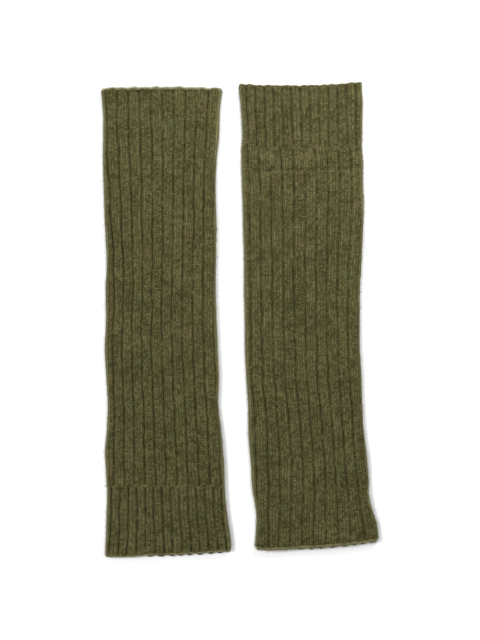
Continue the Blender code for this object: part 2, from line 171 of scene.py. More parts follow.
LEFT_FOLDS = [Fold(*row) for row in (
    (186.0, -62.0, 54.0, 7.0, 0.35, -1.0), (174.0, -64.0, 26.0, 5.5, 0.22, 0.5),
    (165.0, -94.0, 28.0, 6.0, 0.20, -0.5), (146.0, -34.0, 17.0, 5.0, 0.28, 1.0),
    (121.0, -103.0, 16.0, 8.0, 0.30, 0.0), (113.0, -60.0, 26.0, 8.0, -0.28, 1.0),
    (82.0, -90.0, 24.0, 6.0, -0.24, -1.5), (61.5, -53.0, 18.0, 9.0, 0.34, 1.0),
    (40.0, -82.0, 36.0, 9.0, 0.40, -2.0), (6.0, -80.0, 28.0, 6.0, -0.26, 2.5),
    (-20.0, -67.0, 66.0, 10.0, 0.60, -3.5), (-45.0, -36.0, 24.0, 8.0, -0.28, 1.5),
    (-69.0, -72.0, 34.0, 7.0, 0.18, 1.0), (-95.0, -43.0, 18.0, 7.0, 0.36, 0.0),
    (-111.0, -80.0, 36.0, 5.0, 0.24, 1.5), (-134.0, -84.0, 28.0, 8.0, 0.42, 1.0),
    (-143.0, -66.0, 66.0, 3.2, 0.12, 0.6), (-156.0, -83.0, 18.0, 6.0, 0.28, 1.0),
    (-166.0, -70.0, 34.0, 5.0, 0.30, 4.0), (-181.0, -50.0, 38.0, 5.5, 0.26, 4.0),
)]
RIGHT_FOLDS = [Fold(*row) for row in (
    (168.0, 62.0, 26.0, 8.0, 0.34, 0.0), (150.0, 20.0, 22.0, 6.0, -0.24, 1.0),
    (147.2, 53.0, 66.0, 2.8, 0.12, -0.5), (137.0, 53.0, 66.0, 7.5, -0.55, 0.5),
    (127.8, 52.0, 62.0, 3.2, 0.9, 1.0), (111.0, 14.0, 18.0, 7.0, -0.26, 0.0),
    (111.0, 73.0, 26.0, 8.0, -0.26, 0.5), (79.0, 84.0, 24.0, 5.0, 0.30, 3.0),
    (64.0, 62.0, 16.0, 9.0, 0.34, 1.0), (45.0, 89.0, 24.0, 8.0, 0.34, -1.0),
    (18.0, 68.0, 26.0, 7.0, 0.38, 1.0), (-9.0, 28.0, 26.0, 4.5, 0.28, 3.0),
    (-20.0, 44.0, 36.0, 6.0, -0.20, 2.0), (-42.0, 53.0, 26.0, 6.0, 0.34, 3.0),
    (-59.0, 92.0, 22.0, 6.0, 0.30, -1.5), (-78.0, 50.0, 26.0, 8.0, -0.28, 0.5),
    (-95.0, 24.0, 26.0, 4.0, 0.28, 1.0), (-116.0, 84.0, 30.0, 8.0, 0.34, 0.5),
    (-136.0, 28.0, 28.0, 7.0, -0.22, 1.0), (-148.0, 92.0, 30.0, 6.0, 0.42, -2.5),
    (-176.0, 66.0, 54.0, 9.0, 0.34, 2.0),
)]

# Where a groove is filled up (less than 1) or deeper (more than 1) than the others: its
# number on the front, the place and half length, and the share of its depth there.
Change = namedtuple("Change", "groove y half_length share")

LEFT_CHANGES = [Change(*row) for row in (
    (3, 172.0, 14.0, 0.70), (7, 128.0, 20.0, 0.75), (8, 66.0, 16.0, 1.25), (5, 104.0, 18.0, 0.78),
    (2, -12.0, 16.0, 0.78), (6, -60.0, 18.0, 1.20), (4, -118.0, 14.0, 0.78),
    (10, 172.0, 46.0, 0.15),
)]
RIGHT_CHANGES = [Change(*row) for row in (
    (2, 138.0, 11.0, 0.0), (5, 133.0, 7.0, 0.40), (7, 122.0, 9.0, 0.70), (3, 84.0, 18.0, 0.78),
    (6, 34.0, 16.0, 1.25), (8, -34.0, 18.0, 0.78), (4, -92.0, 20.0, 1.20), (7, -152.0, 14.0, 0.80),
    (10, 116.0, 46.0, 0.15),
)]

# How many stitches lie between the outer groove on the front and the table, on each side.
Sides = namedtuple("Sides", "left right")

# One warmer. toward_cuff is -1 where the cuff is at the near end, and 1 at the far end.
Warmer = namedtuple(
    "Warmer",
    "name body cuff body_rim cuff_rim folds changes toward_cuff body_sides cuff_sides",
)

WARMERS = (
    Warmer(
        "left",
        LEFT_BODY,
        LEFT_CUFF,
        Rim(198.3, 198.6, 197.9, -0.5, 1.45, 0.6, 10.4, (3.8, 3.8)),
        Rim(-204.0, -203.6, -200.0, 1.6, 0.25, 1.9, 7.9, (2.1, 2.1)),
        LEFT_FOLDS,
        LEFT_CHANGES,
        -1,
        Sides(6.5, 5.5),
        Sides(6.5, 9.5),
    ),
    Warmer(
        "right",
        RIGHT_BODY,
        RIGHT_CUFF,
        Rim(-197.0, -197.4, -191.1, 2.1, 0.25, 3.1, 9.2, (2.6, 3.8)),
        Rim(202.8, 201.0, 204.2, -0.4, 1.25, 0.5, 8.6, (2.1, 2.1)),
        RIGHT_FOLDS,
        RIGHT_CHANGES,
        1,
        Sides(5.5, 4.5),
        Sides(6.5, 6.5),
    ),
)

# A stretch of one warmer between two places, in the order in which it is knitted.
Stretch = namedtuple(
    "Stretch", "warmer table rib sides start end courses straight_start straight_end"
)

# The loose fibres: the share of them on each stretch, and how they stand.
NAP_SHARES = (("body", 0.72), ("cuff", 0.13), ("bound", 0.077), ("cast_on", 0.073))
NAP_MORE_ON_FRINGE = 2.2  # how much thicker they stand at the folds and rims
NAP_LESS_IN_GROOVES = 0.6
NAP_LONGER_ON_FRINGE = 0.45
NAP_LENGTHS = (0.35, 2.4)  # the least and the most, as shares of the usual length
NAP_RISE = (0.08, 0.95)  # the least and the most of a fibre's way that leads straight out
NAP_BEND = 0.75  # how far a fibre turns at its knee
NAP_KNEE = 0.55  # share of its length at which the knee lies
NAP_ROOTED = 0.08  # how deep a root sits in the skin
NAP_OFF_TABLE = 0.02
NAP_TONE = 1.1  # how far single fibres differ in light

# The wool's colour: how far each pattern, painted shade and highlight included, makes it lighter or
# darker, and what that reaches.
GRAIN = 1.55  # specks
SINGLE = 0.95  # whole stitches
CLOUD = 0.42  # broad patches
PALE_REACH = 0.27  # of the pale colour, for each step of lightness, painted highlight included
DARK_REACH = 0.72  # of the dark colour
PAINTED_SHADE_REACH = 0.86  # of the dark colour, as painted shade in a groove
NAP_PAINTED_SHADE = 0.75  # what of a groove's painted shade a fibre keeps

# Seeds of the random draws, for the left and the right warmer. Those along the grooves are
# apart by kind as well, which along_groove is given.
STITCH_SEEDS = (3, 7)
GROOVE_SEEDS = (0, 100)
NAP_SEEDS = (11, 23)
WAVE_PHASES = (0.0, 0.4)

# The stage, in metres.
FLOOR_HALF = 3.0
FLOOR_DROP = 0.1 * MM
FLOOR_GREY = 0.71
KEY_LIGHT = ((-2.0, 0.21, 2.11), 1.3)  # place and size
FAR_LIGHT = ((0.31, 0.68, 0.42), 0.55)
CAMERA_PLACE = (-0.0004, -0.0003, 1.2996)


# ---------------------------------------------------------------- settings


class KnitSizes(bpy.types.PropertyGroup):
    """Sizes of the stitches and the ribs."""

    groove_depth: FloatProperty(
        name="Groove depth", description="How deep the sunk stitches lie below the ribs",
        default=1.5 * MM, unit="LENGTH", precision=5,
    )
    stitch_relief: FloatProperty(
        name="Stitch relief", description="Height of a stitch's legs above the gaps between them",
        default=0.55 * MM, unit="LENGTH", precision=5,
    )
    unevenness: FloatProperty(
        name="Unevenness", description="How far the size of single stitches differs, as a share",
        default=0.35, subtype="FACTOR", min=0.0, max=1.0,
    )


class NapSizes(bpy.types.PropertyGroup):
    """Sizes of the short loose fibres of the wool."""

    fibres: IntProperty(
        name="Fibres", description="Loose fibres on each warmer",
        default=88000, min=0, max=99000,
    )
    length: FloatProperty(
        name="Length", description="Usual length of a loose fibre",
        default=1.3 * MM, unit="LENGTH", precision=5,
    )
    width: FloatProperty(
        name="Width", description="Width of a loose fibre at its widest",
        default=0.11 * MM, unit="LENGTH", precision=6,
    )


class WoolLook(bpy.types.PropertyGroup):
    """Colours of the heathered wool."""

    base: FloatVectorProperty(
        name="Base", description="The yarn's own colour",
        default=(0.0807, 0.0752, 0.0257), subtype="COLOR",
    )
    green: FloatVectorProperty(
        name="Green", description="Greener tufts in the yarn",
        default=(0.0609, 0.0752, 0.0267), subtype="COLOR",
    )
    brown: FloatVectorProperty(
        name="Brown", description="Browner tufts in the yarn",
        default=(0.0985, 0.0764, 0.0309), subtype="COLOR",
    )
    # Pale also paints the highlight on the side folds and the rims.
    pale: FloatVectorProperty(
        name="Pale", description="Pale fibres in the yarn",
        default=(0.1900, 0.1826, 0.0940), subtype="COLOR",
    )
    # Deep also paints the shade in grooves, between stitches, on the inside and on the back layer's
    # rim.
    deep: FloatVectorProperty(
        name="Deep", description="Dark fibres in the yarn",
        default=(0.0155, 0.0131, 0.0033), subtype="COLOR",
    )


class StageLook(bpy.types.PropertyGroup):
    """Light, floor and camera."""

    key_power: FloatProperty(
        name="Key light", description="Power of the light from the left",
        default=113.0, unit="POWER",
    )
    top_power: FloatProperty(
        name="Far light", description="Power of the light from the far side",
        default=12.1, unit="POWER",
    )
    sky: FloatProperty(
        name="Sky", description="Strength of the even light from all round", default=0.47
    )
    lens: FloatProperty(
        name="Lens", description="Focal length of the camera", default=85.0, unit="CAMERA"
    )


# ---------------------------------------------------------------- the shape of the cloth


def smooth_between(y, places, values):
    """A smooth curve through a table: cubic pieces whose slope at each row is the table's."""
    order = np.argsort(places)
    places = np.asarray(places, float)[order]
    values = np.asarray(values, float)[order]
    slopes = np.gradient(values, places)
    y = np.clip(y, places[0], places[-1])
    row = np.clip(np.searchsorted(places, y) - 1, 0, len(places) - 2)
    length = places[row + 1] - places[row]
    t = (y - places[row]) / length
    start = values[row] * (2 * t**3 - 3 * t**2 + 1)
    end = values[row + 1] * (3 * t**2 - 2 * t**3)
    leave = slopes[row] * length * (t**3 - 2 * t**2 + t)
    arrive = slopes[row + 1] * length * (t**3 - t**2)
    return start + end + leave + arrive


def sections_at(table, y):
    """The outline and the grooves at each place of an array, read off a table of sections."""
    columns = list(zip(*table))
    return Section(y, *[smooth_between(y, columns[0], column) for column in columns[1:]])


def through_three(share, start, middle, end):
    """A curve through three values, at the shares 0, a half and 1 of a length."""
    bow = 4 * middle - 2 * (start + end)
    return start + (end - start) * share + bow * share * (1 - share)


def ease(value):
    """0 below 0, 1 above 1, and a soft step between."""
    value = np.clip(value, 0, 1)
    return value * value * (3 - 2 * value)


def place_in_rib(stitch, rib):
    """A stitch count split into the number of the rib and the stitches past its sunk one."""
    number = np.floor((stitch + 0.5) / rib.stitches)
    return number, stitch - number * rib.stitches


def rib_pitches(stitch, rib):
    """A stitch count as a distance in rib pitches: the sunk stitch is narrow, the others alike."""
    number, past = place_in_rib(stitch, rib)
    sunk = 2 * SUNK_HALF_WIDTH * past
    raised = SUNK_HALF_WIDTH + (past - 0.5) * (1 - 2 * SUNK_HALF_WIDTH) / (rib.stitches - 1)
    return number + np.where(past < 0.5, sunk, raised)


def groove_share(stitch, rib):
    """How much of the groove's depth is reached at a stitch count, read off the groove table."""
    past = place_in_rib(stitch, rib)[1]
    from_edge = np.minimum(past - 0.5, rib.stitches - 0.5 - past)
    from_edge = np.where(past < 0.5, np.abs(past) - 0.5, from_edge)
    return np.interp(from_edge, GROOVE_PLACES, GROOVE_SHARES)


def round_the_fold(start_x, centre_x, share):
    """Places from a groove on the top, over the right fold, down to the table.

    The path is the flat top up to the fold, then a half circle. It returns x, z and the
    outward direction at each share of the path's length.
    """
    flat = np.maximum(centre_x - start_x, 0.0)
    start_angle = np.arccos(np.clip((start_x - centre_x) / FOLD_RADIUS, 0, 1))
    along = (flat + FOLD_RADIUS * (np.pi / 2 + start_angle)) * share
    angle = np.minimum(start_angle - (along - flat) / FOLD_RADIUS, np.pi / 2)
    on_top = along < flat
    x = np.where(on_top, start_x + along, centre_x + FOLD_RADIUS * np.cos(angle))
    z = np.where(on_top, 2 * FOLD_RADIUS, FOLD_RADIUS * (1 + np.sin(angle)))
    return x, z, np.cos(angle), np.sin(angle)


def round_the_tube(stretch, section, stitch):
    """x, z and the outward direction of the smooth tube at each stitch count.

    The front is flat between the folds, each fold is a half circle, and the underside is
    flat on the table. On the front the grooves lie where the section has them.
    """
    rib = stretch.rib
    place = rib_pitches(stitch, rib)
    right_end = rib_pitches(rib.stitches * rib.shown + stretch.sides.right, rib)
    left_end = rib_pitches(-stretch.sides.left, rib)
    left_centre = section.left + FOLD_RADIUS
    right_centre = section.right - FOLD_RADIUS

    x = through_three(np.clip(place / rib.shown, 0, 1), section.first, section.middle, section.last)
    x = np.clip(x, section.left + INSIDE_OUTLINE, section.right - INSIDE_OUTLINE)
    out_x = (np.maximum(x - right_centre, 0) - np.maximum(left_centre - x, 0)) / FOLD_RADIUS
    out_z = np.sqrt(1 - out_x**2)
    front = (x, FOLD_RADIUS * (1 + out_z), out_x, out_z)

    share = np.clip((place - rib.shown) / (right_end - rib.shown), 0, 1)
    right = round_the_fold(section.last, right_centre, share)
    share = np.clip(place / left_end, 0, 1)
    left = round_the_fold(-section.first, -left_centre, share)
    left = (-left[0], left[1], -left[2], left[3])

    share = (place - right_end) / (rib.round + left_end - right_end)
    zero = np.zeros_like(place * section.left)
    under = (right_centre + (left_centre - right_centre) * share, zero, zero, zero - 1)

    where = [place < 0, place <= rib.shown, place <= right_end]
    where = [np.broadcast_to(test, zero.shape) for test in where]
    return [np.select(where, choices, last) for *choices, last in zip(left, front, right, under)]


def fold_depth(folds, x, y):
    """The depth of the transverse folds at a place: each is a soft bump in both directions.

    It is full over the middle 0.4 of its length and runs out softly over the rest.
    """
    total = np.zeros_like(x)
    for fold in folds:
        middle_y = fold.y + fold.rise * (x - fold.x) / fold.half_length
        across = np.abs(y - middle_y) / fold.half_width
        along = (np.abs(x - fold.x) / fold.half_length - 0.4) / 0.6
        total = total + fold.depth * (1 - ease(across)) * (1 - ease(along))
    return total


def joint_of(warmer):
    """The section where a warmer's body and cuff are knitted onto each other."""
    return warmer.body[0] if warmer.toward_cuff > 0 else warmer.body[-1]


def showing(share):
    """How much of the back layer shows along a rim: next to none at the left fold."""
    return 0.15 + 0.85 * ease((share - 0.1) / 0.3)


def rim_shift(stretch, section, x, y, layer):
    """How far a point is moved along Y so that the rows follow the rims of both ends.

    A row is level at the joint of body and cuff, and takes on the rim's line and the step
    between the layers little by little towards each end. layer is 1 on the front layer and
    -1 on the back one, and the two run into one another towards the side folds.
    """
    warmer = stretch.warmer
    from_side = np.minimum(x - section.left, section.right - x)
    front = 0.5 + 0.5 * np.clip(layer, -1, 1) * ease(from_side / LAYER_BLEND)
    joint = joint_of(warmer).y
    toward_here = np.sign((stretch.start + stretch.end) / 2 - joint)
    rim = warmer.cuff_rim if toward_here == warmer.toward_cuff else warmer.body_rim
    reached = (y - joint) / (rim.middle - joint)
    share = (x - section.left) / (section.right - section.left)
    line = through_three(share, rim.left, rim.middle, rim.right) - rim.middle
    return reached * (line - toward_here * rim.back_past_front * showing(share) * front)


def chevron(stitch, rib):
    """How far a row climbs at a stitch count: least at a stitch's middle, most between two."""
    past = place_in_rib(stitch, rib)[1]
    from_middle = np.abs(past - np.round(past)) * 2
    return np.where(past <= 0.5, 0.5, from_middle - 0.5)


def stitch_relief(stitch, course, rib):
    """The height of the legs, from 0 to 1: a leg on each side of a stitch, one V per course."""
    past = place_in_rib(stitch, rib)[1]
    between = np.sin(np.pi * past) ** 2
    left_over = CENTRE_DIP + (COLUMN_DIP - CENTRE_DIP) * between
    leg = np.sin(2 * np.pi * past) ** 2 * (1 - left_over) + left_over
    lobe = np.sin(np.pi * course) ** 2 * (1 - GAP_DIP) + GAP_DIP
    sunk = SUNK_RELIEF * np.cos(np.pi * course) ** 2
    return np.where(past <= 0.5, sunk, leg * lobe)


def own_of(warmer, pair):
    """The value of a pair that belongs to a warmer: the first one is the left warmer's."""
    return pair[warmer.toward_cuff > 0]


def along_groove(stretch, number, course, step, kind):
    """A value near 0 for each groove and place along it, the same each time it is asked for.

    Normal random values stand a number of courses apart, and it runs straight from each to
    the next. kind keeps the values of different uses apart.
    """
    seed = kind + own_of(stretch.warmer, GROOVE_SEEDS) + stretch.rib.stitches
    rows = int(stretch.courses / step) + 4
    table = np.random.default_rng(seed).normal(size=(rows, stretch.rib.round)).clip(-2, 2)
    place = np.clip(course / step + 1, 0, rows - 1.001)
    row = np.floor(place).astype(int)
    column = np.mod(number.astype(int), stretch.rib.round)
    row, column, share = np.broadcast_arrays(row, column, place - row)
    return table[row, column] * (1 - share) + table[row + 1, column] * share


def swayed(stretch, stitch, course, x, y, out_z):
    """x moved to where the ribs really lie, all of it on the flat and nothing at the folds.

    The way aside is the sum of two slow waves that differ by rib, and of each groove's own
    uneven way, which passes over into its neighbour's across a rib.
    """
    phase = 0.037 * x + own_of(stretch.warmer, WAVE_PHASES)
    waves = 0.22 * np.sin(2 * np.pi * (y / 47.0 + phase))
    waves = waves + 0.14 * np.sin(2 * np.pi * (y / 19.0 - 1.7 * phase))
    number = np.floor(stitch / stretch.rib.stitches)
    share = stitch / stretch.rib.stitches - number
    for step, reach in GROOVE_SWAY:
        here = along_groove(stretch, number, course, step, 10 + step)
        beside = along_groove(stretch, number + 1, course, step, 10 + step)
        waves = waves + reach * (here * (1 - share) + beside * share)
    return x + waves * np.abs(out_z) ** 4


def level_of(stretch, course):
    """The place along the arm that a course count stands for."""
    return stretch.start + (stretch.end - stretch.start) * course / stretch.courses


def groove_strength(stretch, stitch, course, level):
    """The share of a groove's depth at a place: uneven, changed here and there as listed, and
    running out, each groove at its own place, before the joint of body and cuff."""
    rib = stretch.rib
    number = place_in_rib(stitch, rib)[0]
    strength = GROOVE_MEAN + 0.0 * course * stitch
    for step, reach in GROOVE_UNEVEN:
        strength = strength + reach * along_groove(stretch, number, course, step, 30 + step)
    if rib is BODY_RIB:
        for change in stretch.warmer.changes:
            near = 1 - ease((np.abs(level - change.y) / change.half_length - 0.3) / 0.7)
            strength = strength * (1 + (change.share - 1) * near * (number == change.groove))
    end = JOINT_END * (0.6 + along_groove(stretch, number, 0 * course, 1, 60))
    from_joint = np.abs(level - joint_of(stretch.warmer).y) - np.maximum(end, 0)
    return np.clip(strength, 0.0, GROOVE_MOST) * ease(from_joint / JOINT_FADE)


def outer_skin(stretch, stitch, course, sizes, relief=1.0):
    """Points of the outer skin, the painted shade of each (1 in a groove), and its painted
    highlight.

    stitch and course are arrays of counts, round the tube and along it. The smooth tube is
    sunk by the groove's share of its depth and by the folds, and raised by the stitches.
    """
    rib = stretch.rib
    knit = np.sign(stretch.end - stretch.start)
    straight = np.ones_like(course)
    if stretch.straight_start:
        straight = straight * ease(course / STRAIGHTEN)
    if stretch.straight_end:
        straight = straight * ease((stretch.courses - course) / STRAIGHTEN)
    level = level_of(stretch, course)
    y = level + knit * COURSE * LEAN * chevron(stitch, rib) * straight * relief
    section = sections_at(stretch.table, y)
    x, z, out_x, out_z = round_the_tube(stretch, section, stitch)

    x = swayed(stretch, stitch, course, x, y, out_z)
    share = groove_share(stitch, rib) * groove_strength(stretch, stitch, course, level)
    grooved = np.where(out_z < 0, ease(z / FOLD_RADIUS) + UNDER_GROOVE * (out_z <= -1), 1.0)
    depth = sizes.groove_depth / MM * share * grooved
    height = stitch_relief(stitch, course, rib)
    raised = sizes.stitch_relief / MM * (height - 0.5) * uneven(stretch, stitch, course, sizes)
    free = ease(2 * straight)
    raised = relief * (raised * free - SEAM_SINK * sizes.stitch_relief / MM * (1 - free))
    upper = ease((z - FOLD_RADIUS) / FOLD_RADIUS)
    swell = -fold_depth(stretch.warmer.folds, x, y) * upper
    floor = BACK_LAYER + SLOT + LEAST_WALL
    low = np.minimum(floor, z)
    x = x + out_x * (raised - depth)
    z = z + out_z * (raised - depth) + swell
    z = np.where(upper > 0, np.maximum(z, low), np.maximum(z, 0.0))
    layer = (z - FOLD_RADIUS) / (FOLD_RADIUS - LAYER_FULL)
    y = y + rim_shift(stretch, section, x, y, layer)
    # Painted shade in the groove, in the stitches' hollows and on the drawn-in row at the joint; a
    # groove keeps some where it has run out.
    shade = stitch_shade(stitch, course, height, rib) + SEAM_SHADE * (1 - free)
    sunk = np.maximum(share + relief * shade, PURL_SHADE * groove_share(stitch, rib)).clip(0, 1)
    return np.stack([x, y, z], axis=-1), sunk, fold_highlight(out_x)


def stitch_shade(stitch, course, height, rib):
    """The painted shade of a stitch at a place: more between the legs, most along the stitch's
    middle.

    The stitches beside a groove turn towards it, and their middles stay lighter.
    """
    past = place_in_rib(stitch, rib)[1]
    inner = np.clip(np.minimum(past, rib.stitches - past) - 1, 0, 1)
    middle = COLUMN_SHADE * np.cos(np.pi * past) ** 2 * (0.55 + 0.45 * inner)
    gap = COURSE_SHADE * np.cos(np.pi * course) ** 2
    low = LOW_SHADE * (1 - height) * (0.7 + 0.3 * inner)
    return (past > 0.5) * (low + middle + gap)


def fold_highlight(out_x):
    """Painted highlight on the side folds, standing in for the lit loose fibres there; 0 on the
    flat.
    """
    return FOLD_HIGHLIGHT * ease((np.abs(out_x) - 0.05) / 0.55)


def uneven(stretch, stitch, course, sizes):
    """A factor near 1 for each single stitch, the same each time for the same stitch."""
    turn = stretch.rib.stitches * stretch.rib.round
    rows = int(stretch.courses) + 3
    seed = own_of(stretch.warmer, STITCH_SEEDS) + stretch.rib.stitches * 10
    random = np.random.default_rng(seed)
    factor = 1 + sizes.unevenness * random.normal(size=(rows, turn)).clip(-2, 2)
    row = np.clip(np.floor(course).astype(int), 0, rows - 1)
    column = np.mod(np.round(stitch).astype(int), turn)
    row, column = np.broadcast_arrays(row, column)
    return factor[row, column]


def inside_of(section, x, out_x, out_z):
    """x and z on the plain inside: a slit with round ends, as wide as the folds leave it."""
    reach = FOLD_WALL + SLOT / 2
    inner_x = np.clip(x, section.left + reach, section.right - reach) + out_x * SLOT / 2
    return inner_x, BACK_LAYER + SLOT / 2 + out_z * SLOT / 2


def inner_skin(stretch, stitch, level):
    """Points of the plain inside, which follows the rims as the outside does."""
    section = sections_at(stretch.table, level)
    x, _, out_x, out_z = round_the_tube(stretch, section, stitch)
    inner_x, inner_z = inside_of(section, x, out_x, out_z)
    inner_y = level + rim_shift(stretch, section, inner_x, level, out_z)
    return np.stack([inner_x, inner_y, inner_z], axis=-1)


# ---------------------------------------------------------------- meshes


def columns_between(start, end, rib, per_stitch=4):
    """Stitch counts of the columns of points: some for a raised stitch, two for a sunk one."""
    found = []
    for stitch in range(int(round(start + 0.5)), int(round(end + 0.5))):
        steps = 2 if stitch % rib.stitches == 0 else per_stitch
        found += list(stitch - 0.5 + np.arange(steps) / steps)
    return np.array(found + [end])


def grid_faces(index):
    """The quads between neighbouring rows and columns of a table of point numbers."""
    corners = [index[:-1, :-1], index[:-1, 1:], index[1:, 1:], index[1:, :-1]]
    return np.stack([corner.ravel() for corner in corners], axis=-1)


def zip_faces(left, right, left_place, right_place):
    """The triangles of a strip between two rows of points that need not be as many.

    Each edge of either row makes a triangle with the point that the other row has reached,
    in the order of the edges' middles along the strip.
    """
    left_key = (left_place[:-1] + left_place[1:]) / 2
    right_key = (right_place[:-1] + right_place[1:]) / 2
    reached = np.searchsorted(right_key, left_key, side="left")
    from_left = np.stack([left[:-1], right[reached], left[1:]], axis=-1)
    reached = np.searchsorted(left_key, right_key, side="right")
    from_right = np.stack([left[reached], right[:-1], right[1:]], axis=-1)
    return np.concatenate([from_left, from_right])


def signed_volume(points, faces):
    """Six times the volume inside a closed mesh of quads or triangles, split from corner 0."""
    total = 0.0
    for corner in range(1, faces.shape[1] - 1):
        a, b, c = points[faces[:, 0]], points[faces[:, corner]], points[faces[:, corner + 1]]
        total += np.einsum("ij,ij->", a, np.cross(b, c))
    return total


def add_object(name, data):
    """A new object in the scene, at the origin."""
    made = bpy.data.objects.new(name, data)
    bpy.context.scene.collection.objects.link(made)
    return made


def make_mesh(name, points, face_sets, stitch_map, fields, material, turn=0.0, sharp=None):
    """A mesh object from points in the tables' millimetres and sets of quads or triangles.

    stitch_map holds the stitch and the course count of each point and becomes the UV map.
    Where a face spans the place at which the stitch count starts again, turn is added.
    sharp numbers the seams from 1 on at their points, and an edge along a seam isn't smoothed.
    """
    points = (points - MIDDLE) * MM
    if sum(signed_volume(points, faces) for faces in face_sets) < 0:
        face_sets = [faces[:, ::-1] for faces in face_sets]
    corners = np.concatenate([faces.ravel() for faces in face_sets])
    sizes = np.concatenate([np.full(len(faces), faces.shape[1]) for faces in face_sets])
    starts = np.concatenate([[0], np.cumsum(sizes)[:-1]])
    mesh = bpy.data.meshes.new(name)
    mesh.vertices.add(len(points))
    mesh.vertices.foreach_set("co", points.ravel())
    mesh.loops.add(len(corners))
    mesh.loops.foreach_set("vertex_index", corners)
    mesh.polygons.add(len(sizes))
    mesh.polygons.foreach_set("loop_start", starts)
    mesh.polygons.foreach_set("loop_total", sizes)
    mesh.update(calc_edges=True)

    uv = stitch_map[corners].copy()
    if turn:
        face_of = np.repeat(np.arange(len(sizes)), sizes)
        highest = np.maximum.reduceat(uv[:, 0], starts)
        wraps = highest[face_of] - uv[:, 0] > turn / 2
        uv[wraps, 0] += turn
    mesh.uv_layers.new(name="stitches").data.foreach_set("uv", uv.ravel())
    for field, values in fields.items():
        mesh.attributes.new(field, "FLOAT", "POINT").data.foreach_set("value", values)
    mesh.materials.append(material)
    mesh.shade_smooth()
    if sharp is not None:
        ends = np.empty(2 * len(mesh.edges), int)
        mesh.edges.foreach_get("vertices", ends)
        seam = sharp[ends.reshape(-1, 2)]
        kept = (seam[:, 0] > 0) & (seam[:, 0] == seam[:, 1])
        mesh.attributes.new("sharp_edge", "BOOLEAN", "EDGE").data.foreach_set("value", kept)
    return add_object(name, mesh)


def long_stretch(warmer, piece):
    """The stretch of a warmer's body or cuff, from the cast-on side to the bound-off side."""
    side = warmer.toward_cuff
    joint = joint_of(warmer).y
    gap = -side * SEAM_GAP / 2
    if piece == "body":
        end = warmer.body_rim.middle + side * BOUND_EDGE
        courses = round(abs(end - joint) / COURSE)
        ends = (joint + gap, end - gap, courses, True, False)
        return Stretch(warmer, warmer.body, BODY_RIB, warmer.body_sides, *ends)
    start = warmer.cuff_rim.middle - side * CAST_ON_EDGE
    courses = round(abs(start - joint) / COURSE)
    ends = (start + gap, joint - gap, courses, False, True)
    return Stretch(warmer, warmer.cuff, CUFF_RIB, warmer.cuff_sides, *ends)


def front_columns(stretch):
    """The stitch counts of the columns of points over the front and both folds."""
    last = stretch.rib.stitches * stretch.rib.shown + stretch.sides.right
    return columns_between(-stretch.sides.left, last, stretch.rib)


def counts_over(stretch, columns, rows):
    """The stitch and the course count of each point of a grid over a whole stretch."""
    return np.broadcast_arrays(columns, np.linspace(0, stretch.courses, rows + 1)[:, None])


def front_grid(stretch, sizes):
    """The finely knitted skin of the front and both folds, with its stitch and course counts."""
    stitch, course = counts_over(stretch, front_columns(stretch), 2 * stretch.courses)
    points, sunk, tone = outer_skin(stretch, stitch, course, sizes)
    return points, stitch, course, sunk, tone


def long_piece(name, stretch, sizes, material):
    """A body or a cuff: a fine front, a coarser back, a plain inside and a rim at each end."""
    turn = stretch.rib.stitches * stretch.rib.round
    points, stitch, course, sunk, tone = front_grid(stretch, sizes)
    first, last = stitch[0, 0], stitch[0, -1]

    columns = columns_between(last, first + turn, stretch.rib, 1)[1:-1]
    under, under_course = counts_over(stretch, columns, stretch.courses // 3)
    skin = outer_skin(stretch, under, under_course, sizes, relief=0.0)
    under_points, under_painted_shade, under_highlight = skin

    columns = np.arange(np.ceil(first), np.ceil(first) + turn)
    inner, inner_course = counts_over(stretch, columns, stretch.courses // 8)
    inner_points = inner_skin(stretch, inner, level_of(stretch, inner_course))

    counts = [stitch.size, under.size, inner.size]
    starts = np.concatenate([[0], np.cumsum(counts)])
    outside = np.arange(counts[0]).reshape(stitch.shape)
    beneath = starts[1] + np.arange(counts[1]).reshape(under.shape)
    inside = starts[2] + np.arange(counts[2]).reshape(inner.shape)
    inside = np.concatenate([inside, inside[:, :1]], axis=1)
    inner_place = np.append(inner[0], inner[0, 0] + turn)
    loop_place = np.concatenate([stitch[0], under[0], [first + turn]])

    strips = [
        zip_faces(outside[:, -1], beneath[:, 0], course[:, 0], under_course[:, 0]),
        zip_faces(beneath[:, -1], outside[:, 0], under_course[:, 0], course[:, 0]),
    ]
    for row in (0, -1):
        loop = np.concatenate([outside[row], beneath[row], outside[row, :1]])
        rows = (loop, inside[row], loop_place, inner_place)
        if row:
            rows = (rows[1], rows[0], rows[3], rows[2])
        strips.append(zip_faces(*rows))
    quads = [grid_faces(outside), grid_faces(beneath), grid_faces(inside)[:, ::-1]]
    quads = np.concatenate(quads)

    grids = (points, under_points, inner_points)
    points = np.concatenate([grid.reshape(-1, 3) for grid in grids])
    # Each point carries its painted shade and its painted highlight; the plain inside gets an even
    # painted shade and no highlight.
    parts = (
        (stitch, under, inner),
        (course, under_course, inner_course),
        (sunk, under_painted_shade, np.full(inner.size, UNDER_SHADE)),
        (tone, under_highlight, np.zeros(inner.size)),
    )
    parts = [np.concatenate([part.ravel() for part in row]) for row in parts]
    sharp = np.zeros(len(points), int)
    for number, row in ((1, 0), (2, -1)):
        sharp[outside[row]] = number
        sharp[beneath[row]] = number
    face_sets = [quads, np.concatenate(strips)]
    fields = {"sunk": parts[2], "tone": parts[3]}
    stitch_map = np.stack(parts[:2], axis=-1)
    return make_mesh(name, points, face_sets, stitch_map, fields, material, turn, sharp)


# One edge row: the stretch that it goes on from, the seam there, the row's height and the
# width of its outer loops, its way outwards, the rim, and whether it is the bound-off chain.
Edge = namedtuple("Edge", "stretch seam height width outward rim chain")


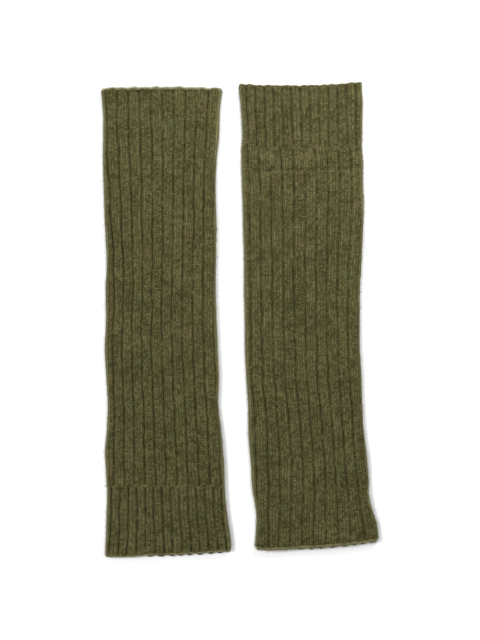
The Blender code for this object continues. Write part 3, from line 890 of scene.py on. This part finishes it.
def edge_of(warmer, kind):
    """The bound-off edge of the body, or the cast-on edge of the cuff."""
    side = warmer.toward_cuff
    if kind == "bound":
        stretch = long_stretch(warmer, "body")
        return Edge(stretch, stretch.end, BOUND_EDGE, CHAIN_WIDTH, -side, warmer.body_rim, True)
    stretch = long_stretch(warmer, "cuff")
    return Edge(stretch, stretch.start, CAST_ON_EDGE, LOOP_WIDTH, side, warmer.cuff_rim, False)


def edge_profile(edge):
    """The cut through an edge row: along the outside, round the rim and back inside.

    It returns the distance from the seam, the share of the way through the wall, and the
    turn from facing outwards (0) over facing along the tube to facing inwards (pi).
    """
    level = edge.height - edge.width
    steps = max(int(np.ceil(level / (COURSE / 4))), 2)
    outside = np.linspace(0, level, steps + 1)[:-1]
    turn = np.linspace(0, np.pi, 15 if edge.chain else 9)
    inside = np.linspace(level, 0, 3)[1:]
    fall = np.concatenate([outside, level + edge.width * np.sin(turn), inside])
    through = np.concatenate([np.zeros(steps), (1 - np.cos(turn)) / 2, np.ones(2)])
    angle = np.concatenate([np.zeros(steps), turn, np.full(2, np.pi)])
    return fall, through, angle


def rim_waves(edge, section, x, stitch, layer):
    """How far the rim is drawn back: by the ribs in front, by waves of their own at the back.

    In front it is an arch over each rib, of a height of its own, and a slow wave. At the back
    it is bumps whose pitch and height drift. Between the layers it runs from one to the other.
    """
    number = np.floor(stitch / edge.stretch.rib.stitches)
    own = 1 + 0.5 * along_groove(edge.stretch, number, 0 * stitch, 1, 80)
    slow = 0.5 + 0.5 * np.sin(2 * np.pi * x / 16.4 + 1.3 * np.sin(x / 23.0) + 0.8)
    front = edge.rim.front_wave * (0.6 * groove_wave(stitch, edge.stretch.rib) * own + 0.4 * slow)
    phase = np.pi * x / edge.rim.back_pitch + 0.6 * np.sin(x / 17.0) + 0.45 * np.sin(x / 6.1 + 2.0)
    shown = showing((x - section.left) / (section.right - section.left))
    bumps = 1 - shown * np.abs(np.sin(phase)) ** 1.6
    back = edge.rim.back_wave * bumps * (1 + 0.3 * np.sin(x / 8.3))
    share = 0.5 + 0.5 * np.clip(layer, -1, 1)
    return front * share + back * (1 - share)


def round_corner(edge, section, x, fall):
    """How far a point near a corner of the rim moves inwards along X, and back from the rim.

    The square corner is carried onto a quarter circle: the distances from the circle's middle
    are both shrunk by the larger one over the length of the two together.
    """
    middle = (section.left + section.right) / 2
    radius = np.where(x < middle, *edge.rim.corners)
    from_side = np.minimum(x - section.left, section.right - x)
    u = np.clip(1 - from_side / radius, 0, 1)
    v = np.clip(1 - (edge.height - fall) / radius, 0, 1) + 0 * u
    shrink = 1 - np.maximum(u, v) / np.maximum(np.hypot(u, v), 1e-9)
    shrink = shrink * ((u > 0) & (v > 0))
    return radius * u * shrink * np.sign(middle - x), radius * v * shrink


def groove_wave(stitch, rib):
    """1 at a groove and 0 on the middle of a rib, along a soft arch."""
    pitches = rib_pitches(stitch, rib)
    return 1 - np.abs(np.sin(np.pi * pitches)) ** 0.9


def edge_rows(edge, stitch, sizes):
    """Points of an edge row: the wall's cut, carried round the tube stitch by stitch.

    The outline and the inside are joined by the cut, pushed out by the relief and the chain
    and in by the groove, and drawn back from the rim by its waves. It returns the points,
    their course counts, the painted shade of each and its painted highlight.
    """
    stretch = edge.stretch
    rib = stretch.rib
    fall, through, angle = [column[:, None] for column in edge_profile(edge)]
    stitch = stitch[None, :]
    knit = np.sign(stretch.end - stretch.start)
    level = edge.seam + edge.outward * fall
    section = sections_at(stretch.table, level + 0 * stitch)
    x, z, out_x, out_z = round_the_tube(stretch, section, stitch)
    course = edge.outward * knit * fall / COURSE + (stretch.courses if edge.chain else 0)
    x = swayed(stretch, stitch, course, x, level, out_z)
    outer = np.stack([x, z], axis=-1)
    inner = np.stack(inside_of(section, x, out_x, out_z), axis=-1)

    in_rim = np.clip(angle / np.pi, 0, 1)
    loops_from = edge.height - edge.width
    near_rim = np.clip(fall / loops_from, 0, 1)
    groove_left = 1 - ease((fall - 0.1 * edge.height) / (0.7 * edge.height))
    strength = groove_strength(stretch, stitch, course, level)
    facing_out = np.cos(np.clip(angle, 0, np.pi / 2))
    share = groove_share(stitch, rib) * strength * groove_left * facing_out
    grooved = np.where(out_z < 0, ease(z / FOLD_RADIUS), 1.0)
    depth = sizes.groove_depth / MM * share * grooved

    legs = stitch_relief(stitch, course, rib)
    lively = uneven(stretch, stitch, course, sizes)
    relief = sizes.stitch_relief / MM * (legs - 0.5) * lively
    if edge.chain:
        link = 1 + 0.12 * (lively - 1) / max(sizes.unevenness, 0.01)
        phase = stitch + 0.75 * np.abs(2 * in_rim - 1)
        across = np.sin(2 * np.pi * in_rim) ** 2 * 0.55 + 0.45
        chain = CHAIN_HEIGHT * link * (np.abs(np.sin(np.pi * phase)) ** 0.9 * across - 0.35)
        on_chain = ease((fall - loops_from + 0.5) / 0.5)
    else:
        chain = LOOP_HEIGHT * (np.cos(np.pi * stitch) ** 2 - 0.5) * lively
        on_chain = ease(angle / 0.8)
    on_chain = on_chain * ease((np.pi - angle) / 0.6)
    height = relief * (1 - on_chain) * (angle < 0.5) + chain * on_chain
    trench = (1 - ease(np.abs(fall - loops_from + 0.2) / 0.8)) * (through < 0.1) * edge.chain
    dotted = trench * (0.55 + 0.45 * np.cos(2 * np.pi * stitch)) * (out_z > 0)
    height = height - TRENCH_DEPTH * dotted
    swell = -fold_depth(stretch.warmer.folds, x, level) * ease((z - FOLD_RADIUS) / FOLD_RADIUS)

    facing = np.cos(angle)
    wall = outer + (inner - outer) * through[..., None]
    push = height * facing - depth * (1 - through)
    place_x = wall[..., 0] + out_x * push
    place_z = wall[..., 1] + out_z * push + swell * (1 - through)
    place_z = np.maximum(place_z, 0.0)
    climb = knit * COURSE * LEAN * chevron(stitch, rib) * (1 - ease(fall / 1.6)) * (through == 0)
    inward, back = round_corner(edge, section, place_x, fall)
    waves = rim_waves(edge, section, place_x, stitch, out_z)
    drawn = waves * near_rim**2 * ease(fall / edge.height) + back
    place_x = place_x + inward
    y = level + climb - edge.outward * drawn + edge.outward * height * np.sin(angle)
    layer = np.where(np.abs(out_z) > 0.3, np.sign(out_z), out_z / 0.3)
    y = y + rim_shift(stretch, section, place_x, level, layer)
    points = np.stack([place_x, y, place_z], axis=-1)
    # Painted shadow on the back layer's rim, where the front layer hangs over it.
    behind = ease(0.5 - out_z) * near_rim
    # Painted shade in the groove, in the stitches' hollows off the chain, in the dotted line and on
    # the inside of the rim.
    sunk = share + stitch_shade(stitch, course, legs, rib) * (1 - on_chain)
    sunk = sunk + TRENCH_SHADE * dotted + RIM_INSIDE_SHADE * (through > 0.6) + behind
    # Painted highlight along the rim, none where the back layer lies in painted shadow; single
    # loops and ribs differ in it.
    on_rim = ease((fall - edge.height + 1.6) / 1.3) * ease((2.6 - angle) / 1.2)
    on_rim = on_rim * (1 - behind)
    number = np.floor(stitch / rib.stitches)
    glint = 1 + GLINT * along_groove(stretch, np.floor(stitch), 0 * stitch, 1, 90)
    glint = glint + GLINT * along_groove(stretch, number, 0 * stitch, 1, 95)
    rim_highlight = CHAIN_HIGHLIGHT if edge.chain else LOOP_HIGHLIGHT
    tone = np.maximum(fold_highlight(out_x), rim_highlight * on_rim * glint)
    return points, course + 0 * stitch, np.clip(sunk, 0, 1), tone


def edge_piece(name, edge, sizes, material):
    """An edge row as one closed ring: the cut's loop carried once round the tube."""
    rib = edge.stretch.rib
    turn = rib.stitches * rib.round
    first = -edge.stretch.sides.left
    stitch = columns_between(first, first + turn, rib, 8 if edge.chain else 4)[:-1]
    points, course, sunk, tone = edge_rows(edge, stitch, sizes)
    rows, around = points.shape[:2]
    index = np.arange(rows * around).reshape(rows, around)
    index = np.pad(index, (0, 1), mode="wrap")
    stitch_map = np.stack([np.broadcast_to(stitch, course.shape).ravel(), course.ravel()], axis=-1)
    fields = {"sunk": sunk.ravel(), "tone": tone.ravel()}
    sharp = np.zeros(rows * around, int)
    sharp[index[0, :-1]] = 1
    sharp[index[rows - 1, :-1]] = 2
    faces = [grid_faces(index)]
    return make_mesh(name, points.reshape(-1, 3), faces, stitch_map, fields, material, turn, sharp)


# ---------------------------------------------------------------- the nap


def scattered(points, maps, count, random, weight):
    """Places spread evenly over a grid of points, with their outward direction and values.

    A cell is drawn by its area times a weight and a place in it by two shares; the direction
    is the cross product of the cell's two diagonals.
    """
    corners = (points[:-1, :-1], points[:-1, 1:], points[1:, 1:], points[1:, :-1])
    across = np.cross(corners[2] - corners[0], corners[3] - corners[1])
    area = np.linalg.norm(across, axis=-1)
    share = area * weight[:-1, :-1]
    cell = random.choice(area.size, size=count, p=share.ravel() / share.sum())
    row, column = np.unravel_index(cell, area.shape)
    s, t = random.random((2, count, 1))
    a, b, c, d = [corner[row, column] for corner in corners]
    place = a * (1 - s) * (1 - t) + b * s * (1 - t) + c * s * t + d * (1 - s) * t
    normal = across[row, column] / np.maximum(area[row, column], 1e-9)[:, None]
    return place, normal, [field[row, column] for field in maps]


def unit(vectors):
    """The vectors brought to length 1."""
    return vectors / np.linalg.norm(vectors, axis=1, keepdims=True)


def nap_roots(warmer, sizes, nap, random):
    """Where the fibres of one warmer start: places, outward directions and the skin's values."""
    found = []
    grids = []
    for kind, share in NAP_SHARES:
        if kind in ("body", "cuff"):
            front = front_grid(long_stretch(warmer, kind), sizes)
            grids.append((front[0], front[1:], share))
            continue
        edge = edge_of(warmer, kind)
        stitch = front_columns(edge.stretch)
        points, course, sunk, tone = edge_rows(edge, stitch, sizes)
        kept = edge_profile(edge)[2] < 0.75 * np.pi
        fields = (np.broadcast_to(stitch, course.shape), course, sunk, tone)
        grids.append((points[kept], [field[kept] for field in fields], share))
    for points, maps, share in grids:
        weight = 1 + NAP_MORE_ON_FRINGE * np.minimum(maps[3], 1)
        weight = weight * (1 - NAP_LESS_IN_GROOVES * maps[2])
        count = int(nap.fibres * share)
        place, normal, values = scattered(points, maps, count, random, weight)
        found.append((place, normal, *values))
    root, normal, *values = [np.concatenate(column) for column in zip(*found)]
    upper = np.where(root[:, 2:] > FOLD_RADIUS, [[0, 0, 1.0]], 0)
    return root, normal * np.sign(np.sum(normal * upper, axis=1).sum()), *values


def nap_piece(name, warmer, sizes, nap, material):
    """The loose fibres of one warmer: each is a short bent sliver, pointed at both ends.

    A fibre starts on the skin, leaves it at a slant and bends on: root, knee and tip are
    root + direction * length, with a second direction that is turned at random.
    """
    random = np.random.default_rng(own_of(warmer, NAP_SEEDS))
    root, normal, stitch, course, sunk, fringe = nap_roots(warmer, sizes, nap, random)
    fringe = np.minimum(fringe, 1)

    count = len(root)
    aside = random.normal(size=(count, 3))
    aside = unit(aside - normal * np.sum(aside * normal, axis=1, keepdims=True))
    rise = random.uniform(*NAP_RISE, (count, 1)) ** 1.4
    rise = rise + 0.9 * fringe[:, None] * (NAP_RISE[1] - rise) * random.random((count, 1))
    leave = normal * rise + aside * np.sqrt(1 - rise**2)
    bend = unit(leave + NAP_BEND * random.normal(size=(count, 3)))
    bend = np.where(np.sum(bend * normal, axis=1, keepdims=True) < -0.15, leave, bend)
    length = nap.length / MM * random.gamma(5.0, 0.2, (count, 1)).clip(*NAP_LENGTHS)
    length = length * (1 + NAP_LONGER_ON_FRINGE * fringe[:, None])
    flat = unit(np.cross(leave, random.normal(size=(count, 3))))
    half = nap.width / MM / 2 * random.uniform(0.7, 1.3, (count, 1))
    root = root - normal * NAP_ROOTED
    knee = root + leave * length * NAP_KNEE
    tip = knee + bend * length * (1 - NAP_KNEE)
    for end in (knee, tip):
        end[:, 2] = np.maximum(end[:, 2], NAP_OFF_TABLE)
    strand = np.stack([root, knee + flat * half, knee - flat * half, tip], axis=1)
    number = np.arange(count)[:, None] * 4
    faces = np.concatenate([number + np.array([0, 1, 2]), number + np.array([2, 1, 3])])
    # A fibre's colour: its own random lightness, a painted highlight at the folds and rims, and
    # part of the painted shade of the skin it starts on.
    tone = np.repeat(NAP_TONE * random.normal(size=count) + 0.3 + 2.8 * fringe, 4)
    stitch_map = np.stack([np.repeat(stitch, 4), np.repeat(course, 4)], axis=-1)
    fields = {"sunk": np.repeat(sunk * NAP_PAINTED_SHADE, 4), "tone": tone}
    return make_mesh(name, strand.reshape(-1, 3), [faces], stitch_map, fields, material)


# ---------------------------------------------------------------- the wool's colour, with painted shade and highlight


def fill(tree, node, inputs):
    """Give a node's sockets their values, or link them from other sockets."""
    for name, value in inputs.items():
        if isinstance(value, bpy.types.NodeSocket):
            tree.links.new(value, node.inputs[name])
        else:
            node.inputs[name].default_value = value


def add_node(tree, kind, inputs=(), **settings):
    """A node with its settings and its inputs."""
    made = tree.nodes.new(kind)
    for name, value in settings.items():
        setattr(made, name, value)
    fill(tree, made, dict(inputs))
    return made


def math_node(tree, operation, *values, clamp=False):
    """The result of a Math node."""
    inputs = dict(enumerate(values))
    node = add_node(tree, "ShaderNodeMath", inputs, operation=operation, use_clamp=clamp)
    return node.outputs[0]


def mix_colours(tree, share, a, b):
    """A mix of two colours."""
    node = add_node(tree, "ShaderNodeMix", {0: share, 6: a, 7: b}, data_type="RGBA")
    return node.outputs[2]


def spread(tree, value, low, high, to_low=0.0, to_high=1.0):
    """A value carried from one range over to another, and held inside it."""
    labels = ("Value", "From Min", "From Max", "To Min", "To Max")
    inputs = dict(zip(labels, (value, low, high, to_low, to_high)))
    return add_node(tree, "ShaderNodeMapRange", inputs).outputs["Result"]


def noise(tree, position, scale, detail=2.0, roughness=0.5):
    """The value of a Noise Texture at a position in millimetres."""
    inputs = {"Vector": position, "Scale": scale, "Detail": detail, "Roughness": roughness}
    return add_node(tree, "ShaderNodeTexNoise", inputs).outputs["Fac"]


def new_group(name, inputs, outputs):
    """An empty node group with named sockets, and its input and output nodes."""
    group = bpy.data.node_groups.new(name, "ShaderNodeTree")
    for label, kind in inputs:
        group.interface.new_socket(name=label, in_out="INPUT", socket_type=kind)
    for label, kind in outputs:
        group.interface.new_socket(name=label, in_out="OUTPUT", socket_type=kind)
    return group, group.nodes.new("NodeGroupInput"), group.nodes.new("NodeGroupOutput")


def heather_group():
    """The colour of heathered wool: tufts of green and brown, pale and dark fibres, painted shade
    and highlight.
    """
    name = "heathered_yarn"
    if name in bpy.data.node_groups:
        return bpy.data.node_groups[name]
    colour, value, vector = "NodeSocketColor", "NodeSocketFloat", "NodeSocketVector"
    inputs = [("Position", vector), ("Stitch", vector), ("Sunk", value), ("Tone", value)]
    inputs += [(label, colour) for label in ("Base", "Green", "Brown", "Pale", "Deep")]
    group, given, result = new_group(name, inputs, [("Color", colour)])
    given = given.outputs
    position = given["Position"]

    patch = spread(group, noise(group, position, 0.11), 0.35, 0.65)
    tuft = spread(group, noise(group, position, 0.45, 3.0, 0.65), 0.33, 0.67)
    hue = math_node(group, "MULTIPLY_ADD", patch, 0.45, math_node(group, "MULTIPLY", tuft, 0.55))
    warm = mix_colours(group, spread(group, hue, 0.5, 0.9), given["Base"], given["Brown"])
    body = mix_colours(group, spread(group, hue, 0.5, 0.1), warm, given["Green"])

    whole = add_node(group, "ShaderNodeVectorMath", {0: given["Stitch"]}, operation="FLOOR")
    whole = {"Vector": whole.outputs[0]}
    white = add_node(group, "ShaderNodeTexWhiteNoise", whole, noise_dimensions="2D")
    single = white.outputs["Value"]
    grain = spread(group, noise(group, position, 1.4, 1.0), 0.33, 0.67, -GRAIN, GRAIN)
    cloud = spread(group, noise(group, position, 0.10, 2.0, 0.6), 0.35, 0.65, -CLOUD, CLOUD)
    light = math_node(group, "ADD", grain, spread(group, single, 0, 1, -SINGLE, SINGLE))
    light = math_node(group, "ADD", light, cloud)
    # The painted highlight of the folds and rims adds to the lightness here.
    light = math_node(group, "ADD", light, given["Tone"])
    above = math_node(group, "MAXIMUM", light, 0.0)
    pale = math_node(group, "MULTIPLY", above, PALE_REACH, clamp=True)
    below = math_node(group, "MAXIMUM", math_node(group, "MULTIPLY", light, -1.0), 0.0)
    dark = math_node(group, "MULTIPLY", below, DARK_REACH, clamp=True)
    mixed = mix_colours(group, pale, body, given["Pale"])
    mixed = mix_colours(group, dark, mixed, given["Deep"])
    # The deep colour is mixed in here as painted shade.
    sunk = math_node(group, "MULTIPLY", given["Sunk"], PAINTED_SHADE_REACH)
    mixed = mix_colours(group, sunk, mixed, given["Deep"])
    group.links.new(mixed, result.inputs["Color"])
    return group


def relief_group():
    """The height of the fibres that cover the stitches, in millimetres."""
    name = "fibre_relief"
    if name in bpy.data.node_groups:
        return bpy.data.node_groups[name]
    vector = "NodeSocketVector"
    outputs = [("Height", "NodeSocketFloat")]
    group, given, result = new_group(name, [("Position", vector)], outputs)
    position = given.outputs["Position"]
    coarse = noise(group, position, 1.3, 2.0, 0.6)
    fine = math_node(group, "MULTIPLY", noise(group, position, 4.5, 3.0, 0.7), 0.08)
    height = math_node(group, "MULTIPLY_ADD", coarse, 0.10, fine)
    group.links.new(height, result.inputs["Height"])
    return group


def wool(name, look, sheen=0.27, shade=1.0):
    """Brushed heathered wool, patterned by Object coordinates and by the stitches, with painted
    shade and highlight from the mesh's attributes.
    """
    if name in bpy.data.materials:
        return bpy.data.materials[name]
    material = bpy.data.materials.new(name)
    material.use_nodes = True
    tree = material.node_tree
    place = add_node(tree, "ShaderNodeTexCoord").outputs["Object"]
    inputs = {0: place, 1: (1 / MM,) * 3}
    millimetres = add_node(tree, "ShaderNodeVectorMath", inputs, operation="MULTIPLY").outputs[0]
    stitch = add_node(tree, "ShaderNodeUVMap", uv_map="stitches").outputs["UV"]
    sunk = add_node(tree, "ShaderNodeAttribute", attribute_name="sunk").outputs["Fac"]
    tone = add_node(tree, "ShaderNodeAttribute", attribute_name="tone").outputs["Fac"]
    inputs = {"Position": millimetres, "Stitch": stitch, "Sunk": sunk, "Tone": tone}
    for label in ("base", "green", "brown", "pale", "deep"):
        # A shade below 1 makes a darker copy of the same wool, as painted shade.
        inputs[label.capitalize()] = (*[shade * part for part in getattr(look, label)], 1.0)
    yarn = add_node(tree, "ShaderNodeGroup", inputs, node_tree=heather_group())
    inputs = {"Position": millimetres}
    fibres = add_node(tree, "ShaderNodeGroup", inputs, node_tree=relief_group())
    inputs = {"Height": fibres.outputs["Height"], "Distance": MM, "Strength": 0.8}
    bump = add_node(tree, "ShaderNodeBump", inputs)
    inputs = {
        "Base Color": yarn.outputs["Color"],
        "Normal": bump.outputs["Normal"],
        "Roughness": 0.95,
        "Specular IOR Level": 0.06,
        "Sheen Weight": sheen,
        "Sheen Roughness": 0.55,
        "Sheen Tint": (0.62, 0.59, 0.27, 1.0),
    }
    fill(tree, tree.nodes["Principled BSDF"], inputs)
    return material


# ---------------------------------------------------------------- operators


def place_piece(piece, node):
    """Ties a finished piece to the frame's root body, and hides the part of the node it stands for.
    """
    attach(piece, "root")
    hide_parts(node)


def knit_both(scene, kind, shade=1.0):
    """Knit the body or the cuff of both warmers, tie each to the frame and hide its node's part."""
    material = wool(f"{kind}_wool", scene.wool_look, shade=shade)
    for warmer in WARMERS:
        stretch = long_stretch(warmer, kind)
        name = f"{warmer.name}_{kind}"
        place_piece(long_piece(f"{name}_knit", stretch, scene.knit_sizes, material), name)


class ARMWARMERS_OT_bodies(bpy.types.Operator):
    """Knit both bodies in wide rib"""

    bl_idname = "armwarmers.bodies"
    bl_label = "Knit the bodies"

    def execute(self, context):
        knit_both(context.scene, "body")
        return {"FINISHED"}


class ARMWARMERS_OT_cuffs(bpy.types.Operator):
    """Knit both cuffs in narrow rib"""

    bl_idname = "armwarmers.cuffs"
    bl_label = "Knit the cuffs"

    def execute(self, context):
        # The cuffs get a slightly darker copy of the wool, as painted shade.
        knit_both(context.scene, "cuff", shade=0.98)
        return {"FINISHED"}


class ARMWARMERS_OT_edges(bpy.types.Operator):
    """Bind off the bodies and cast on the cuffs"""

    bl_idname = "armwarmers.edges"
    bl_label = "Knit the edge rows"

    def execute(self, context):
        scene = context.scene
        for warmer in WARMERS:
            # The bound-off row gets a darker copy of the wool, as painted shade.
            for kind, shade in (("bound", 0.94), ("cast_on", 1.0)):
                node = f"{kind}_edge"
                material = wool(f"{kind}_wool", scene.wool_look, shade=shade)
                edge = edge_of(warmer, kind)
                piece = edge_piece(f"{warmer.name}_{node}_knit", edge, scene.knit_sizes, material)
                place_piece(piece, f"{warmer.name}_{node}")
        return {"FINISHED"}


class ARMWARMERS_OT_nap(bpy.types.Operator):
    """Raise the loose fibres of the wool"""

    bl_idname = "armwarmers.nap"
    bl_label = "Raise the nap"

    def execute(self, context):
        scene = context.scene
        material = wool("loose_fibres", scene.wool_look, sheen=0.2)
        for warmer in WARMERS:
            name = f"{warmer.name}_nap"
            piece = nap_piece(name, warmer, scene.knit_sizes, scene.nap_sizes, material)
            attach(piece, "root")
        return {"FINISHED"}


class ARMWARMERS_OT_sheets(bpy.types.Operator):
    """Does nothing: no measures of the cloth are stated here."""

    bl_idname = "armwarmers.sheets"
    bl_label = "Declare the cloth"

    def execute(self, context):
        return {"FINISHED"}


class ARMWARMERS_OT_stage(bpy.types.Operator):
    """Set the floor, the lights and the camera"""

    bl_idname = "armwarmers.stage"
    bl_label = "Set the stage"

    def execute(self, context):
        scene = context.scene
        look = scene.stage_look
        mesh = bpy.data.meshes.new("floor")
        signs = ((-1, -1), (1, -1), (1, 1), (-1, 1))
        corners = [(x * FLOOR_HALF, y * FLOOR_HALF, -FLOOR_DROP) for x, y in signs]
        mesh.from_pydata(corners, [], [(0, 1, 2, 3)])
        floor = add_object("floor", mesh)
        paper = bpy.data.materials.new("white_paper")
        paper.use_nodes = True
        grey = (FLOOR_GREY,) * 3 + (1.0,)
        inputs = {"Base Color": grey, "Roughness": 0.9, "Specular IOR Level": 0.1}
        fill(paper.node_tree, paper.node_tree.nodes["Principled BSDF"], inputs)
        mesh.materials.append(paper)

        world = bpy.data.worlds.new("even_light")
        world.use_nodes = True
        inputs = {"Color": (1.0, 1.0, 1.0, 1.0), "Strength": look.sky}
        fill(world.node_tree, world.node_tree.nodes["Background"], inputs)
        scene.world = world

        lights = (
            ("key_light", look.key_power, *KEY_LIGHT),
            ("far_light", look.top_power, *FAR_LIGHT),
        )
        for name, power, place, size in lights:
            lamp = bpy.data.lights.new(name, "AREA")
            lamp.shape = "DISK"
            lamp.size = size
            lamp.energy = power
            light = add_object(name, lamp)
            light.location = place
            light.rotation_euler = (-Vector(place)).to_track_quat("-Z", "Y").to_euler()

        camera = add_object("camera", bpy.data.cameras.new("camera"))
        camera.data.lens = look.lens
        camera.location = CAMERA_PLACE
        scene.camera = camera
        scene.view_settings.view_transform = "Standard"
        return {"FINISHED"}


class ARMWARMERS_PT_panel(bpy.types.Panel):
    """Lists the steps and their sizes"""

    bl_idname = "ARMWARMERS_PT_panel"
    bl_label = "Ribbed arm warmers"
    bl_space_type = "VIEW_3D"
    bl_region_type = "UI"
    bl_category = "Arm warmers"

    def draw(self, context):
        for settings in SETTINGS:
            group = getattr(context.scene, settings)
            for name in group.bl_rna.properties.keys():
                if name not in ("rna_type", "name"):
                    self.layout.prop(group, name)
        for operator in OPERATORS:
            self.layout.operator(operator.bl_idname)


SETTINGS = {
    "knit_sizes": KnitSizes,
    "nap_sizes": NapSizes,
    "wool_look": WoolLook,
    "stage_look": StageLook,
}
OPERATORS = (
    ARMWARMERS_OT_bodies,
    ARMWARMERS_OT_cuffs,
    ARMWARMERS_OT_edges,
    ARMWARMERS_OT_nap,
    ARMWARMERS_OT_stage,
    ARMWARMERS_OT_sheets,
)


def register():
    """Make the settings, the operators and the panel known."""
    for name, group in SETTINGS.items():
        bpy.utils.register_class(group)
        setattr(bpy.types.Scene, name, PointerProperty(type=group))
    for operator in OPERATORS:
        bpy.utils.register_class(operator)
    bpy.utils.register_class(ARMWARMERS_PT_panel)


def unregister():
    """Forget them again, last things first."""
    bpy.utils.unregister_class(ARMWARMERS_PT_panel)
    for operator in reversed(OPERATORS):
        bpy.utils.unregister_class(operator)
    for name, group in reversed(SETTINGS.items()):
        delattr(bpy.types.Scene, name)
        bpy.utils.unregister_class(group)


def main():
    """Build every piece in order."""
    register()
    bpy.ops.armwarmers.bodies()
    bpy.ops.armwarmers.cuffs()
    bpy.ops.armwarmers.edges()
    bpy.ops.armwarmers.nap()
    bpy.ops.armwarmers.stage()
    bpy.ops.armwarmers.sheets()


if __name__ == "__main__":
    main()
